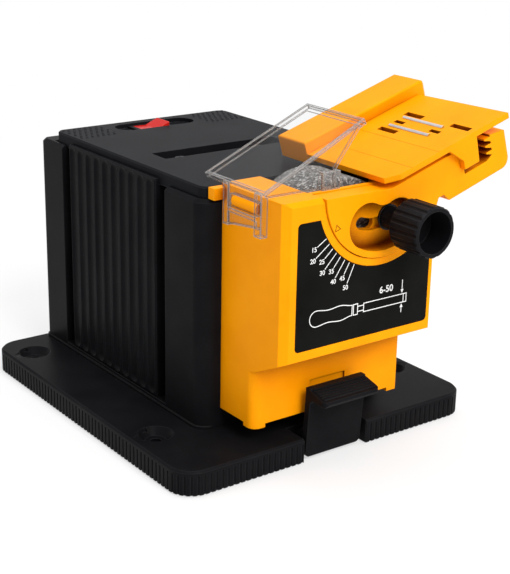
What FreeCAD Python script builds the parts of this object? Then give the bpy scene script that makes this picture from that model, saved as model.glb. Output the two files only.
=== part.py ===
import FreeCAD, Part
import math
import os

# Bench sharpener with a tilting chisel and plane-iron head.
# Millimetres. +X to the right seen from the front, +Y to the back, +Z up.
# The origin is the centre of the bolt holes, on the plane that the feet stand on.

# Shared by all pieces
run_gap = 0.05
over = 1.0
tiny = 0.01
web_t = 4.0
screw_r = 1.6
screw_head_r = 3.4
screw_head_h = 2.4
screw_hole_spare = 2.0
drive_half_l = 2.0
drive_half_w = 0.45
drive_depth = 1.0

# Base plate
base_w = 213.0
base_d = 232.5
base_h = 15.5
base_corner_r = 15.0
base_wall = 3.0
base_edge_chamfer = 1.2
rim_lift = 0.8
skirt_rib_pitch = 4.0
skirt_rib_depth = 0.7
skirt_rib_share = 0.62
skirt_band_h = 2.6
bolt_inset_x = 16.5
bolt_inset_front = 54.5
bolt_inset_back = 27.0
bolt_hole_r = 3.2
bolt_seat_r = 6.5
bolt_seat_z = 11.0
bolt_dish_r = 10.5
scoop_tip_half = 2.0
scoop_tip_inset = 3.0
scoop_lift = 2.0
foot_r = 8.0
foot_h = 2.5
foot_inset = 24.0
rear_foot_x = 35.0
foot_room = 0.5
base_rib_places = (104.6, 174.4)
base_rib_drop = 9.0
base_screw_reach = 18.0
boss_r = 5.0
boss_h = 20.0
boss_inset_x = 12.0
boss_inset_y = 14.0

# Motor housing
body_w = 138.5
body_shift = 2.25
body_setback = 42.0
body_back_inset = 1.0
body_wall = 3.0
body_corner_r = 9.0
body_back_r = 5.0
unit_h = 160.0
post_drop = 6.7
post_chamfer = 2.0
foot_lip = 1.0
foot_lip_h = 1.6
front_post_w = 38.0
rear_post_w = 29.5
window_sill = 3.5
return_depth = 5.0
return_t = 2.5
ledge_t = 3.0
frame_drop = 1.0
shaft_opening_r = 22.0
vent_count = 7
vent_pitch = 9.0
vent_w = 3.0
vent_lift = 22.0
vent_row_gap = 8.0
vent_top_gap = 27.3

# Ribbed side panels
panel_t = 2.5
groove_front = 11.5
groove_back = 8.2
panel_sunk = 0.5
panel_edge = 0.9
panel_over_post = 2.2
panel_lip_gap = 0.3
panel_foot_gap = 0.2
flute_count = 10
flute_share = 0.78
flute_depth = 1.2
flute_land = 1.0

# Top cover
cover_t = 2.5
cover_skirt_h = 8.0
cover_gap = 0.5
cover_corner_r = 6.0
cover_chamfer = 0.8
cover_from_back = 14.5
recess_half_l = 45.0
recess_w = 17.0
recess_depth = 5.0
recess_end_run = 7.0
recess_from_front = 71.0
trough_half_l = 29.3
trough_half_w = 9.4
trough_depth = 3.0
trough_from_back = 30.5
bump_cols = 7
bump_rows = 7
bump_pitch_x = 4.0
bump_pitch_y = 4.0
bump_r = 1.3
bump_top_r = 0.7
bump_rise = 0.5
bump_root = 0.3
bump_inset_x = 3.5
bump_inset_y = 4.5
cover_screw_reach = 14.0

# Rocker switch
rocker_half_l = 9.8
rocker_half_w = 7.6
rocker_swing = 11.0
rocker_end_h = 4.3
rocker_mid_h = 2.2
rocker_taper = 1.2
rocker_belly = 1.0
rocker_keel_half = 4.0
rocker_keel = 5.0
rocker_room = 7.5
switch_wall = 0.8
switch_room = 0.4
switch_body_h = 19.0
bezel_rim = 1.8
bezel_side = 0.3
bezel_edge = 0.3
bezel_t = 1.6
bezel_to_pivot = 2.6
pivot_r = 1.2
pivot_end_gap = 0.2
terminal_x = 8.0
terminal_t = 0.8
terminal_w = 4.8
terminal_l = 8.0

# Cord gland in the back wall
gland_z = 36.0
gland_bore_r = 3.6
gland_barrel_r = 7.0
gland_flange_r = 9.5
gland_flange_t = 3.0
gland_inside = 7.0
gland_nut_r = 10.0
gland_nut_t = 3.5

# Motor and shaft
shaft_r = 4.0
shaft_proud = 2.0
collar_r = 6.0
collar_room = 1.0
can_r = 23.0
can_wall = 1.8
can_l = 78.0
can_gap_front = 18.0
can_front_t = 3.0
nose_r = 13.0
nose_l = 10.0
nose_lip = 1.0
bearing_r = 11.0
bearing_w = 7.0
rear_bearing_r = 8.0
rear_bearing_w = 5.0
rear_boss_t = 2.0
rear_boss_lip = 1.0
end_cap_t = 3.0
spigot_l = 5.0
spigot_t = 3.0
air_gap = 1.0
core_l = 36.0
core_from_front = 12.0
core_slots = 10
core_slot_depth = 6.2
core_slot_half = 1.3
magnet_t = 4.0
magnet_sweep = 130.0
magnet_past_core = 2.0
winding_l = 7.0
winding_drop = 1.7
winding_bore_gap = 2.0
winding_edge_r = 2.0
commutator_r = 9.0
commutator_l = 12.0
commutator_gap = 1.0
brush_w = 4.0
brush_h = 5.0
brush_gap = 0.1
brush_reach = 7.0
holder_t = 1.2
holder_gap = 1.5
holder_end_gap = 3.5
fan_r = 20.0
fan_blades = 8
fan_w = 5.0
fan_gap = 1.0
fan_hub_t = 3.0
fan_disc_t = 1.2
fan_blade_t = 1.4

# Cradle that carries the motor
cradle_ahead = 5.0
cradle_behind = 40.0
cradle_edge = 4.0
cradle_pad_t = 3.0
cradle_screw_inset = 5.0
cradle_screw_reach = 9.0
cradle_boss_h = 10.0
saddle_t = 8.0
saddle_from_front = 12.0
saddle_to_well = 1.0
saddle_foot = 8.0
saddle_web = 10.0
strap_t = 2.0
strap_ear_t = 3.0
strap_screw_reach = 12.0
post_r = 4.2
post_to_can = 6.0
post_web_drop = 16.0

# Rectifier board
board_l = 40.0
board_w = 30.0
board_t = 1.6
board_lift = 5.0
board_inset = 2.0
board_hole_x = 4.0
board_hole_y = 8.0
standoff_r = 3.0
board_screw_r = 1.0
board_screw_head_r = 1.9
board_screw_head_h = 1.5
board_screw_lift = 1.5
bridge_half_w = 6.0
bridge_from_edge = 13.0
bridge_t = 4.0
bridge_h = 13.0
capacitor_r = 6.0
capacitor_h = 16.0
capacitor_from_edge = 27.0

# Grinding wheel
wheel_r = 41.5
wheel_w = 35.0
wheel_gap = 2.0
wheel_proud = 3.0
wheel_edge = 1.0
wheel_bore_r = 8.0
wheel_cup_r = 17.0
wheel_cup_d = 9.0
flange_r = 18.0
flange_t = 4.0
outer_flange_r = 15.0
outer_flange_t = 3.0
flange_spigot_gap = 0.5
nut_flat = 13.0
nut_t = 6.5

# Yellow head shell
head_room_left = 12.0
head_room_right = 14.5
head_depth = 57.0
head_wall = 3.0
head_rise = 2.5
head_bottom = 27.3
overhang = 25.0
lower_box_h = 33.2
panel_lift = 12.3
left_chamfer_x = 4.5
left_chamfer_y = 3.5
low_corner_r = 5.5
right_chamfer_x = 2.0
right_chamfer_y = 3.0
head_top_chamfer = 2.5
seat_depth = 14.5
seat_plate_t = 3.0
deck_edge_x = -28.0
mouth_drop = 8.0
wheel_side_gap = 3.0
head_foot = 9.0
head_foot_h = 2.3
tab_out = 7.5
tab_front = 3.0
tab_back_gap = 0.2
tab_seat_gap = 0.4
tab_top_gap = 2.2
label_inset_left = 9.0
label_inset_right = 4.7
label_lift = 5.7
label_drop = 11.8
label_corner_r = 2.5
label_sink = 0.5
label_proud = 0.1
label_gap = 0.3

# Tilting table
pivot_x = 14.1
pivot_rise = 1.9
table_tilt = 17.5
disc_r = 41.0
disc_gap = 0.5
seat_ring_t = 4.2
cheek_t = 12.0
cheek_proud = 1.0
arm_drop = 4.0
arm_depth = 25.8
arm_l = 91.5
arm_end_r = 6.0
arm_room = 1.3
arm_room_back = 3.7
post_fall = 1.5
post_lean = 2.0
notch_s = 57.0
notch_w = 23.0
notch_ramp = 5.0
notch_depth = 16.0
tooth_count = 3
tooth_pitch = 4.2
tooth_reach = 4.6
tooth_t = 1.0
tooth_share = 0.8
tooth_start = 2.6
bite_s = 37.0
bite_w = 12.0
bite_top = 4.0
bite_h = 5.0
deck_s = 20.0
deck_t = 3.0
deck_inset = 4.0
deck_rib_t = 2.5
deck_rib_h = 4.0
deck_rib_places = (12.0, 38.0, 63.5)
flat_spare = 1.0
rail_s = 0.5
rail_l = 98.5
rail_w = 25.5
rail_rise = 10.5
rail_wall = 3.0
rail_chamfer = 4.0
rail_edge_r = 1.2
rail_to_head = 10.5
index_inset = 3.8
index_h = -8.7
index_r = 2.6
index_line = 0.9
index_depth = 0.3

# Rest plate
plate_s = 0.5
plate_l = 92.5
plate_low = 0.2
plate_t = 3.3
plate_taper = 3.0
plate_overhang = 4.0
plate_gap = 0.5
plate_corner_s = 8.0
plate_corner_y = 5.0
tongue_room = 0.5
tongue_l = 9.2
tongue_drop = 15.0
tongue_t = 8.0
tongue_lean = 1.0
apron_l = 12.0
apron_step = 3.2
apron_slope = 9.5
apron_gap = 0.4
crease_places = (17.0, 38.0)
crease_w = 0.25
crease_d = 0.1
rod_r = 1.2
rod_l = 33.0
rod_sink = 0.5
rod_places = (50.3, 61.7)
rod_from_rail = 17.5
rod_end_gap = 0.1
far_windows = ((10.5, 4.0, 15.0, 3.8), (0.0, 3.0, 8.0, 1.8), (-10.9, 4.0, 15.0, 3.8))
near_windows = ((0.0, 3.0, 8.0, 5.0), (10.5, 4.0, 15.0, -2.0))
pad_r = 4.0
pad_inset_left = 8.0
pad_inset_right = 12.0
pad_inset_y = 10.0

# Clamp knob
clamp_inset = 16.81
clamp_angle = -63.5
tilt_travel = 40.0
slot_spare = 3.2
pocket_spare = 2.7
pocket_wall = 3.8
pocket_depth = 9.0
seat_window_gap = 2.0
stud_r = 3.0
stud_room = 0.5
stud_head_r = 6.0
stud_head_t = 2.0
stud_tip_room = 2.0
knob_r = 14.5
knob_l = 21.5
knob_stand = 8.0
knob_edge = 0.8
knob_flutes = 18
flute_r = 1.5
flute_out = 0.45
bore_room = 0.3
knob_cup_r = 11.8
knob_cup_d = 16.0
neck_r = 6.5
washer_r = 7.5
washer_t = 1.2
washer_gap = 0.2
insert_r = 5.0
insert_l = 9.0

# Spark guard
guard_t = 2.5
guard_left_gap = 0.2
guard_front_gap = 0.5
guard_back_left = 55.0
guard_back_right = 50.0
guard_left_rise = 3.0
guard_right_x = 10.9
guard_climb = 32.6
guard_foot_x = -8.0
guard_foot_gap = 0.5
guard_shoulder = 10.0
guard_leg_drop = 21.1
guard_leg_rise = 4.5
guard_leg_l = 36.0
guard_leg_rib = 6.0
guard_leg_back_rib = 4.5
guard_leg_proud = 2.0
guard_rim = 1.4
guard_rim_rise = 0.4
clip_w = 12.0
clip_d = 4.0
clip_wall = 1.8
sill_t = 2.4
bar_drop = 7.0
bar_h = 6.0
bar_l = 22.5
bar_reach = 3.0
bar_room = 0.8
bar_from_leg_end = 6.0

# Latch
latch_w = 41.0
latch_t = 4.0
latch_bottom = 2.0
latch_lean = 2.7
latch_corner_r = 3.0
latch_brow = 8.0
latch_nape = 4.0
pad_reach = 13.0
pad_fall = 4.0
pad_corner_r = 3.5
pad_nose = ((-0.8, -1.6), (0.4, -3.4))
pad_root = ((-2.0, -6.5), (1.0, -10.0))
pad_root_drop = 6.0
ridge_count = 5
ridge_r = 0.9
ridge_sunk = 0.35
ridge_first = 0.7
ridge_end_gap = 2.0
ridge_back_gap = 3.0
latch_notch_gap = 3.0
latch_notch_d = 18.0
latch_wall = 5.0
latch_pin_r = 2.0
latch_pin_y = 11.0
latch_pin_z = 7.0
pin_end_gap = 0.5
ear_w = 5.0
ear_inset = 1.0
ear_lift = 1.0
ear_reach = 4.0
ear_rise = 4.5
ear_top = 16.0
hook_half_w = 10.0
hook_lift = 8.7
hook_to_top = 10.0
hook_rise = 4.0
hook_bite = 2.5
hook_root = 0.5
hook_root_drop = 3.0
hook_tip_lift = 2.2
hook_room = 1.5
hook_top_room = 0.7
latch_bed_half = 13.0
latch_bed_rise = 0.5
latch_bed_d = 1.0
spring_half_l = 7.0
spring_t = 1.6
spring_leg = 1.2
spring_leg_drop = 2.2

# Places worked out from the sizes above
bolt_dx = base_w - 2 * bolt_inset_x
bolt_dy = base_d - bolt_inset_front - bolt_inset_back
base_front = -bolt_dy / 2 - bolt_inset_front
base_back = base_front + base_d
body_front = base_front + body_setback
body_back = base_back - body_back_inset
body_half = body_w / 2
inner_half = body_half - body_wall
body_left = body_shift - body_half
body_right = body_shift + body_half
head_left = -wheel_r - head_room_left
head_right = wheel_r + head_room_right
head_top = unit_h + head_rise
shaft_z = head_top + wheel_proud - wheel_r
lower_box_top = head_bottom + lower_box_h
panel_bottom = lower_box_top + panel_lift
pivot_z = head_top + pivot_rise
post_top = unit_h - post_drop
win_front = body_front + front_post_w
win_back = body_back - rear_post_w
win_sill = base_h + window_sill
cover_low = unit_h - cover_skirt_h
cover_half = inner_half - cover_gap
cover_back = body_back - cover_from_back
panel_y = body_front - head_depth
lower_y = panel_y + overhang
seat_back = panel_y + seat_depth
cheek_front = panel_y - cheek_proud
cheek_back = cheek_front + cheek_t
pocket_floor = cheek_front + pocket_depth
wheel_back = body_front - wheel_gap
wheel_front = wheel_back - wheel_w
can_front = body_front + can_gap_front
can_back = can_front + can_l
nose_front = can_front + can_front_t - nose_l
can_in = can_r - can_wall
core_r = can_in - magnet_t - air_gap
winding_r = core_r - winding_drop
cover_screw_x = can_r + post_to_can
cradle_half_w = cover_screw_x + cradle_edge
cradle_front = can_front - cradle_ahead
cradle_back = can_back + cradle_behind
pad_top = base_h + cradle_pad_t
rail_front = body_front + rail_to_head
recess_y0 = body_front + recess_from_front
recess_mid = recess_y0 + recess_w / 2
cover_floor = unit_h - recess_depth
saddle_places = [can_front + saddle_from_front, recess_y0 - cover_t - saddle_to_well - saddle_t / 2]
trough_y = body_back - trough_from_back
rocker_z = unit_h - trough_depth + bezel_t - bezel_to_pivot
latch_y = base_front
pin_y = base_front + latch_pin_y
notch_half = latch_w / 2 + latch_notch_gap
hook_z = head_bottom + hook_lift
latch_top = hook_z + hook_to_top
bore_r = disc_r + disc_gap
clamp_r = disc_r - clamp_inset
pocket_half_w = clamp_inset - pocket_wall
arm_low = -arm_drop - arm_depth
arm_room_s = math.sqrt(bore_r ** 2 - (arm_low - arm_room) ** 2) - arm_room_back
clamp_x = pivot_x + clamp_r * math.cos(math.radians(clamp_angle))
clamp_z = pivot_z + clamp_r * math.sin(math.radians(clamp_angle))
knob_back = cheek_front - knob_stand
knob_front = knob_back - knob_l
stud_tip = knob_front + knob_cup_d + stud_tip_room
bar_z = head_top - bar_drop
bar_y1 = seat_back + guard_leg_l - bar_from_leg_end
bar_y0 = bar_y1 - bar_l


def vec(x, y, z):
    return FreeCAD.Vector(x, y, z)


def box(x0, x1, y0, y1, z0, z1):
    return Part.makeBox(x1 - x0, y1 - y0, z1 - z0, vec(x0, y0, z0))


def post(x, y, r, z0, z1):
    return Part.makeCylinder(r, z1 - z0, vec(x, y, z0), vec(0, 0, 1))


def round_y(x, z, r, y0, y1):
    return Part.makeCylinder(r, y1 - y0, vec(x, y0, z), vec(0, 1, 0))


def round_x(y, z, r, x0, x1):
    return Part.makeCylinder(r, x1 - x0, vec(x0, y, z), vec(1, 0, 0))


def tube_y(x, z, r_out, r_in, y0, y1):
    return round_y(x, z, r_out, y0, y1).cut(round_y(x, z, r_in, y0 - over, y1 + over))


def prism_y(points, y0, y1):
    wire = Part.makePolygon([vec(x, y0, z) for x, z in points + points[:1]])
    return Part.Face(wire).extrude(vec(0, y1 - y0, 0))


def prism_x(points, x0, x1):
    wire = Part.makePolygon([vec(x0, y, z) for y, z in points + points[:1]])
    return Part.Face(wire).extrude(vec(x1 - x0, 0, 0))


def prism_z(points, z0, z1):
    wire = Part.makePolygon([vec(x, y, z0) for x, y in points + points[:1]])
    return Part.Face(wire).extrude(vec(0, 0, z1 - z0))


def rounded(x0, x1, y0, y1, r, z0, z1, back=None):
    b = back or r
    corners = [(x1 - r, y0 + r, r, -90), (x1 - b, y1 - b, b, 0), (x0 + b, y1 - b, b, 90),
               (x0 + r, y0 + r, r, 180)]
    edges = []
    ends = []
    for cx, cy, bend, start in corners:
        pts = []
        for turn in (0, 45, 90):
            a = math.radians(start + turn)
            pts.append(vec(cx + bend * math.cos(a), cy + bend * math.sin(a), z0))
        ends.append((pts[0], pts[2]))
        edges.append(Part.Arc(*pts).toShape())
    joined = []
    for i, arc in enumerate(edges):
        joined.append(arc)
        joined.append(Part.makeLine(ends[i][1], ends[(i + 1) % 4][0]))
    return Part.Face(Part.Wire(joined)).extrude(vec(0, 0, z1 - z0))


def upright(x0, x1, z0, z1, r, y0, y1):
    flat = rounded(x0, x1, -z1, -z0, r, 0, y1 - y0)
    flat.rotate(vec(0, 0, 0), vec(1, 0, 0), -90)
    flat.translate(vec(0, y0, 0))
    return flat


def hexagon(z, r):
    points = []
    for k in range(6):
        a = math.radians(60 * k)
        points.append((r * math.cos(a), z + r * math.sin(a)))
    return points


def fuse(*shapes):
    return shapes[0].multiFuse(list(shapes[1:])).removeSplitter()


def cut(shape, *tools):
    return shape.cut(Part.makeCompound(list(tools)))


def chamfer_top(shape, size):
    top = shape.BoundBox.ZMax
    edges = [e for e in shape.Edges if e.BoundBox.ZMin > top - tiny]
    return shape.makeChamfer(size, edges)


def on_table(shape):
    placed = shape.copy()
    placed.rotate(vec(0, 0, 0), vec(0, 1, 0), -table_tilt)
    placed.translate(vec(pivot_x, 0, pivot_z))
    return placed


def screw_z(x, y, head_z, tip_z, up):
    head = post(x, y, screw_head_r, head_z, head_z + screw_head_h)
    if up:
        shank = post(x, y, screw_r, head_z + screw_head_h, tip_z)
        drive_z = head_z - tiny
    else:
        shank = post(x, y, screw_r, tip_z, head_z)
        drive_z = head_z + screw_head_h - drive_depth + tiny
    drive = [box(x - a, x + a, y - b, y + b, drive_z, drive_z + drive_depth)
             for a, b in ((drive_half_l, drive_half_w), (drive_half_w, drive_half_l))]
    return fuse(head, shank).cut(fuse(*drive))


def save(name, *solids):
    shape = solids[0]
    if len(solids) > 1:
        shape = Part.makeCompound(list(solids))
    shape.exportStep("parts/" + name + ".step")
    bad = [s for s in shape.Solids if not s.isValid()]
    print(name, len(shape.Solids), "solids", round(shape.Volume / 1000, 2), "cm3", "INVALID" if bad else "")


os.makedirs("parts", exist_ok=True)

bolt_places = [(sx * bolt_dx / 2, sy * bolt_dy / 2) for sx in (-1, 1) for sy in (-1, 1)]
foot_places = [(sx * (base_w / 2 - foot_inset), base_front + foot_inset) for sx in (-1, 1)]
foot_places += [(sx * rear_foot_x, base_back - foot_inset) for sx in (-1, 1)]
boss_places = [(body_shift + sx * (body_half - boss_inset_x), y) for sx in (-1, 1)
               for y in (body_front + boss_inset_y, body_back - boss_inset_y)]
cradle_screw_places = [(sx * (cradle_half_w - cradle_screw_inset), y) for sx in (-1, 1)
                       for y in (cradle_front + cradle_screw_inset, cradle_back - cradle_screw_inset)]
board_y1 = cradle_back - board_inset
board_y0 = board_y1 - board_l
board_z = pad_top + board_lift
board_holes = [(sx * (board_w / 2 - board_hole_x), y) for sx in (-1, 1)
               for y in (board_y0 + board_hole_y, board_y1 - board_hole_y)]


# Base plate: a plate with a ribbed skirt, open below
def skirt_stations():
    r = base_corner_r
    hw = base_w / 2
    sides = [((hw, base_front + r), (0, 1), base_d - 2 * r, (1, 0)),
             ((hw - r, base_back), (-1, 0), base_w - 2 * r, (0, 1)),
             ((-hw, base_back - r), (0, -1), base_d - 2 * r, (-1, 0)),
             ((-hw + r, base_front), (1, 0), base_w - 2 * r, (0, -1))]
    centres = [(hw - r, base_back - r), (-hw + r, base_back - r),
               (-hw + r, base_front + r), (hw - r, base_front + r)]
    points = []
    for k in range(4):
        (px, py), (dx, dy), length, (nx, ny) = sides[k]
        count = max(1, round(length / skirt_rib_pitch))
        for i in range(count):
            for share, sunk in ((0, 0), (skirt_rib_share, 0), (skirt_rib_share, 1), (1, 1)):
                t = (i + share) * length / count
                inset = skirt_rib_depth * sunk
                points.append((px + dx * t - nx * inset, py + dy * t - ny * inset))
        cx, cy = centres[k]
        arc = r * math.pi / 2
        count = max(1, round(arc / skirt_rib_pitch))
        for i in range(count):
            for share, sunk in ((0, 0), (skirt_rib_share, 0), (skirt_rib_share, 1), (1, 1)):
                a = math.radians(90 * k + 90 * (i + share) / count)
                rr = r - skirt_rib_depth * sunk
                points.append((cx + rr * math.cos(a), cy + rr * math.sin(a)))
    return points


def make_base():
    hw = base_w / 2
    skirt = prism_z(skirt_stations(), rim_lift, base_h - skirt_band_h)
    plate = rounded(-hw, hw, base_front, base_back, base_corner_r, base_h - skirt_band_h, base_h)
    plate = chamfer_top(plate, base_edge_chamfer)
    body = fuse(skirt, plate)
    inset = base_wall + skirt_rib_depth
    hollow = rounded(-hw + inset, hw - inset, base_front + inset, base_back - inset,
                     base_corner_r - inset, 0, base_h - base_wall)
    body = body.cut(hollow)
    skin = base_h - base_wall
    adds = []
    cuts = []
    dish_h = base_h - bolt_seat_z
    for x, y in bolt_places:
        side = math.copysign(1, x)
        edge = side * (hw - base_wall / 2)
        tip = side * (hw - scoop_tip_inset)
        wide = bolt_dish_r + base_wall
        adds.append(post(x, y, wide, 0, base_h - base_edge_chamfer))
        adds.append(box(min(x, edge), max(x, edge), y - wide, y + wide, rim_lift, skin + tiny))
        cuts.append(Part.makeCone(bolt_seat_r, bolt_dish_r, dish_h, vec(x, y, bolt_seat_z)))
        cuts.append(post(x, y, bolt_hole_r, -over, base_h))
        plan = [(x, y - bolt_dish_r), (tip, y - scoop_tip_half), (tip, y + scoop_tip_half),
                (x, y + bolt_dish_r)]
        ramp = [(x, bolt_seat_z + scoop_lift), (tip, base_h), (tip, base_h + dish_h), (x, base_h + dish_h)]
        scoop = prism_z(plan, bolt_seat_z, base_h + dish_h)
        cuts.append(scoop.common(prism_y(ramp, y - wide, y + wide)))
    for x, y in foot_places:
        adds.append(post(x, y, foot_r, foot_h, skin + tiny))
    for x, y in boss_places:
        cuts.append(post(x, y, screw_r + run_gap, 0, base_h + over))
    for x, y in cradle_screw_places:
        adds.append(post(x, y, boss_r, base_h - cradle_boss_h, skin + tiny))
        cuts.append(post(x, y, screw_r + run_gap, base_h - cradle_boss_h - over, base_h + over))
    walls = box(-notch_half - latch_wall, notch_half + latch_wall, base_front + inset,
                base_front + latch_notch_d + base_wall, rim_lift, skin + tiny)
    adds.append(walls)
    for place in base_rib_places:
        y = base_front + place
        adds.append(box(-hw + base_wall, hw - base_wall, y, y + base_wall, base_h - base_rib_drop,
                        skin + tiny))
    cuts.append(box(-notch_half, notch_half, base_front - over, base_front + latch_notch_d, -over,
                    base_h + over))
    bore_half = notch_half + latch_wall + over
    cuts.append(round_x(pin_y, latch_pin_z, latch_pin_r + run_gap, -bore_half, bore_half))
    body = fuse(body, *adds)
    return cut(body, *cuts)


save("base_plate", make_base())
save("rubber_feet", *[post(x, y, foot_r - foot_room, 0, foot_h) for x, y in foot_places])
base_screw_seat = base_h - base_wall - screw_head_h
save("base_screws", *[screw_z(x, y, base_screw_seat, base_h + base_screw_reach, True)
                      for x, y in boss_places])


# Motor housing: four corner posts joined by walls, open above and below
def make_housing():
    solid = rounded(body_left, body_right, body_front, body_back, body_corner_r, base_h, post_top,
                    body_back_r)
    solid = chamfer_top(solid, post_chamfer)
    ledge = box(body_left, body_right, cover_back + cover_gap, body_back, post_top - ledge_t, post_top)
    lip = rounded(body_left - foot_lip, body_right + foot_lip, body_front, body_back,
                  body_corner_r, base_h, base_h + foot_lip_h, body_back_r)
    shell = fuse(solid, lip)
    inside = rounded(body_left + body_wall, body_right - body_wall, body_front + body_wall,
                     body_back - body_wall, body_corner_r - body_wall, base_h - over, post_top + over,
                     body_back_r - body_wall)
    shell = shell.cut(inside)
    adds = [ledge.common(solid)]
    cuts = []
    for side in (-1, 1):
        a, b = sorted((body_shift + side * inner_half, body_shift + side * (inner_half - return_depth)))
        frame = box(a, b, win_front - return_t, win_back + return_t, win_sill - return_t,
                    cover_low - frame_drop)
        opening = box(a - over, b + over, win_front, win_back, win_sill, unit_h)
        adds.append(frame.cut(opening))
        a, b = sorted((body_shift + side * (body_half + foot_lip + over),
                       body_shift + side * (inner_half - over)))
        cuts.append(box(a, b, win_front, win_back, win_sill, unit_h))
    shell = cut(shell, *cuts)
    cuts = []
    for x, y in boss_places:
        side = math.copysign(1, x)
        a, b = sorted((x, body_shift + side * (inner_half + over)))
        adds.append(post(x, y, boss_r, base_h, base_h + boss_h))
        adds.append(box(a, b, y - web_t / 2, y + web_t / 2, base_h, base_h + boss_h))
        cuts.append(post(x, y, screw_r + run_gap, base_h - over, base_h + boss_h - over))
    cuts.append(round_y(0, shaft_z, shaft_opening_r, body_front - over, body_front + body_wall + over))
    y0 = body_back - body_wall - over
    y1 = body_back + over
    cuts.append(round_y(0, gland_z, gland_barrel_r + run_gap, y0, y1))
    vent_low = gland_z + vent_lift
    vent_h = (post_top - vent_top_gap - vent_low - vent_row_gap) / 2
    for i in range(vent_count):
        x = (i - (vent_count - 1) / 2) * vent_pitch
        for z in (vent_low, vent_low + vent_h + vent_row_gap):
            cuts.append(box(x - vent_w / 2, x + vent_w / 2, y0, y1, z, z + vent_h))
    return cut(fuse(shell, *adds), *cuts)


save("housing_shell", make_housing())


# Side panels: a sheet behind the window with a fluted block standing in it, lipped in front of the lid
def make_side_panel():
    x_in = body_shift + inner_half - return_depth
    sheet = box(x_in - panel_t, x_in, win_front - return_t, win_back + return_t, win_sill - return_t,
                cover_low - frame_drop)
    face = body_right - panel_sunk
    top = post_top + panel_over_post
    ledge = cover_low - panel_lip_gap
    low = win_sill + panel_foot_gap
    y0 = win_front + groove_front
    y1 = win_back - groove_back
    block = box(x_in, face, y0, y1, low, top)
    block = block.makeChamfer(panel_edge, [e for e in block.Edges if e.BoundBox.XMin > face - tiny])
    pitch = (y1 - y0) / flute_count
    half = pitch * flute_share / 2
    groove_r = (half * half + flute_depth * flute_depth) / (2 * flute_depth)
    x = face - flute_depth + groove_r
    ends = (low + flute_land + half, top - flute_land - half)
    flutes = []
    for i in range(flute_count):
        y = y0 + (i + 0.5) * pitch
        balls = [Part.makeSphere(groove_r, vec(x, y, z)) for z in ends]
        flutes.append(fuse(post(x, y, groove_r, *ends), *balls))
    hollow = box(x_in - panel_t - over, face - flute_depth - panel_t, y0 + panel_t, y1 - panel_t,
                 low + panel_t, ledge - panel_t)
    lip_x = body_shift + cover_half + panel_lip_gap
    lid_room = box(x_in - over, lip_x, y0 - over, y1 + over, ledge, top + over)
    return cut(fuse(sheet, block), hollow, lid_room, *flutes)


right_panel = make_side_panel()
save("right_ribbed_panel", right_panel)
save("left_ribbed_panel", right_panel.mirror(vec(body_shift, 0, 0), vec(1, 0, 0)))


# Top cover: a lid that drops inside the posts
def make_cover():
    x0 = body_shift - cover_half
    x1 = body_shift + cover_half
    y0 = body_front + body_wall + cover_gap
    y1 = cover_back
    lid = chamfer_top(rounded(x0, x1, y0, y1, cover_corner_r, cover_low, unit_h), cover_chamfer)
    hollow = rounded(x0 + cover_t, x1 - cover_t, y0 + cover_t, y1 - cover_t, cover_corner_r - cover_t,
                     cover_low - over, unit_h - cover_t)
    lid = lid.cut(hollow)
    floor = cover_floor
    well = box(-recess_half_l - cover_t, recess_half_l + cover_t, recess_y0 - cover_t,
               recess_y0 + recess_w + cover_t, floor - cover_t, unit_h - cover_t + tiny)
    trough_low = unit_h - trough_depth
    left = body_shift - trough_half_l
    right = body_shift + trough_half_l
    dish = rounded(left - cover_t, right + cover_t, trough_y - trough_half_w - cover_t,
                   trough_y + trough_half_w + cover_t, trough_half_w, trough_low - cover_t,
                   unit_h - cover_t + tiny)
    bumps = []
    for side in (-1, 1):
        for i in range(bump_cols):
            for j in range(bump_rows):
                x = body_shift + side * (cover_half - bump_inset_x - (i + 0.5 * (j % 2)) * bump_pitch_x)
                y = y1 - bump_inset_y - j * bump_pitch_y
                place = vec(x, y, unit_h - bump_root)
                bumps.append(Part.makeCone(bump_r, bump_top_r, bump_root + bump_rise, place))
    lid = fuse(lid, well, dish, *bumps)
    slope = recess_half_l - recess_end_run
    recess = prism_y([(-recess_half_l, unit_h + tiny), (-slope, floor), (slope, floor),
                      (recess_half_l, unit_h + tiny)], recess_y0, recess_y0 + recess_w)
    trough = rounded(left, right, trough_y - trough_half_w, trough_y + trough_half_w,
                     trough_half_w - tiny, trough_low, unit_h + over)
    hole_x = rocker_half_l + 2 * switch_room + switch_wall + run_gap
    hole_y = rocker_half_w + switch_room + switch_wall + run_gap
    hole = box(-hole_x, hole_x, trough_y - hole_y, trough_y + hole_y, trough_low - cover_t - over, unit_h)
    screw_holes = [post(sx * cover_screw_x, recess_mid, screw_r + run_gap, floor - cover_t - over, unit_h)
                   for sx in (-1, 1)]
    return cut(lid, recess, trough, hole, *screw_holes)


save("top_cover", make_cover())
cover_screw_tip = cover_floor - cover_screw_reach
save("top_cover_screws", *[screw_z(sx * cover_screw_x, recess_mid, cover_floor, cover_screw_tip, False)
                           for sx in (-1, 1)])


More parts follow.
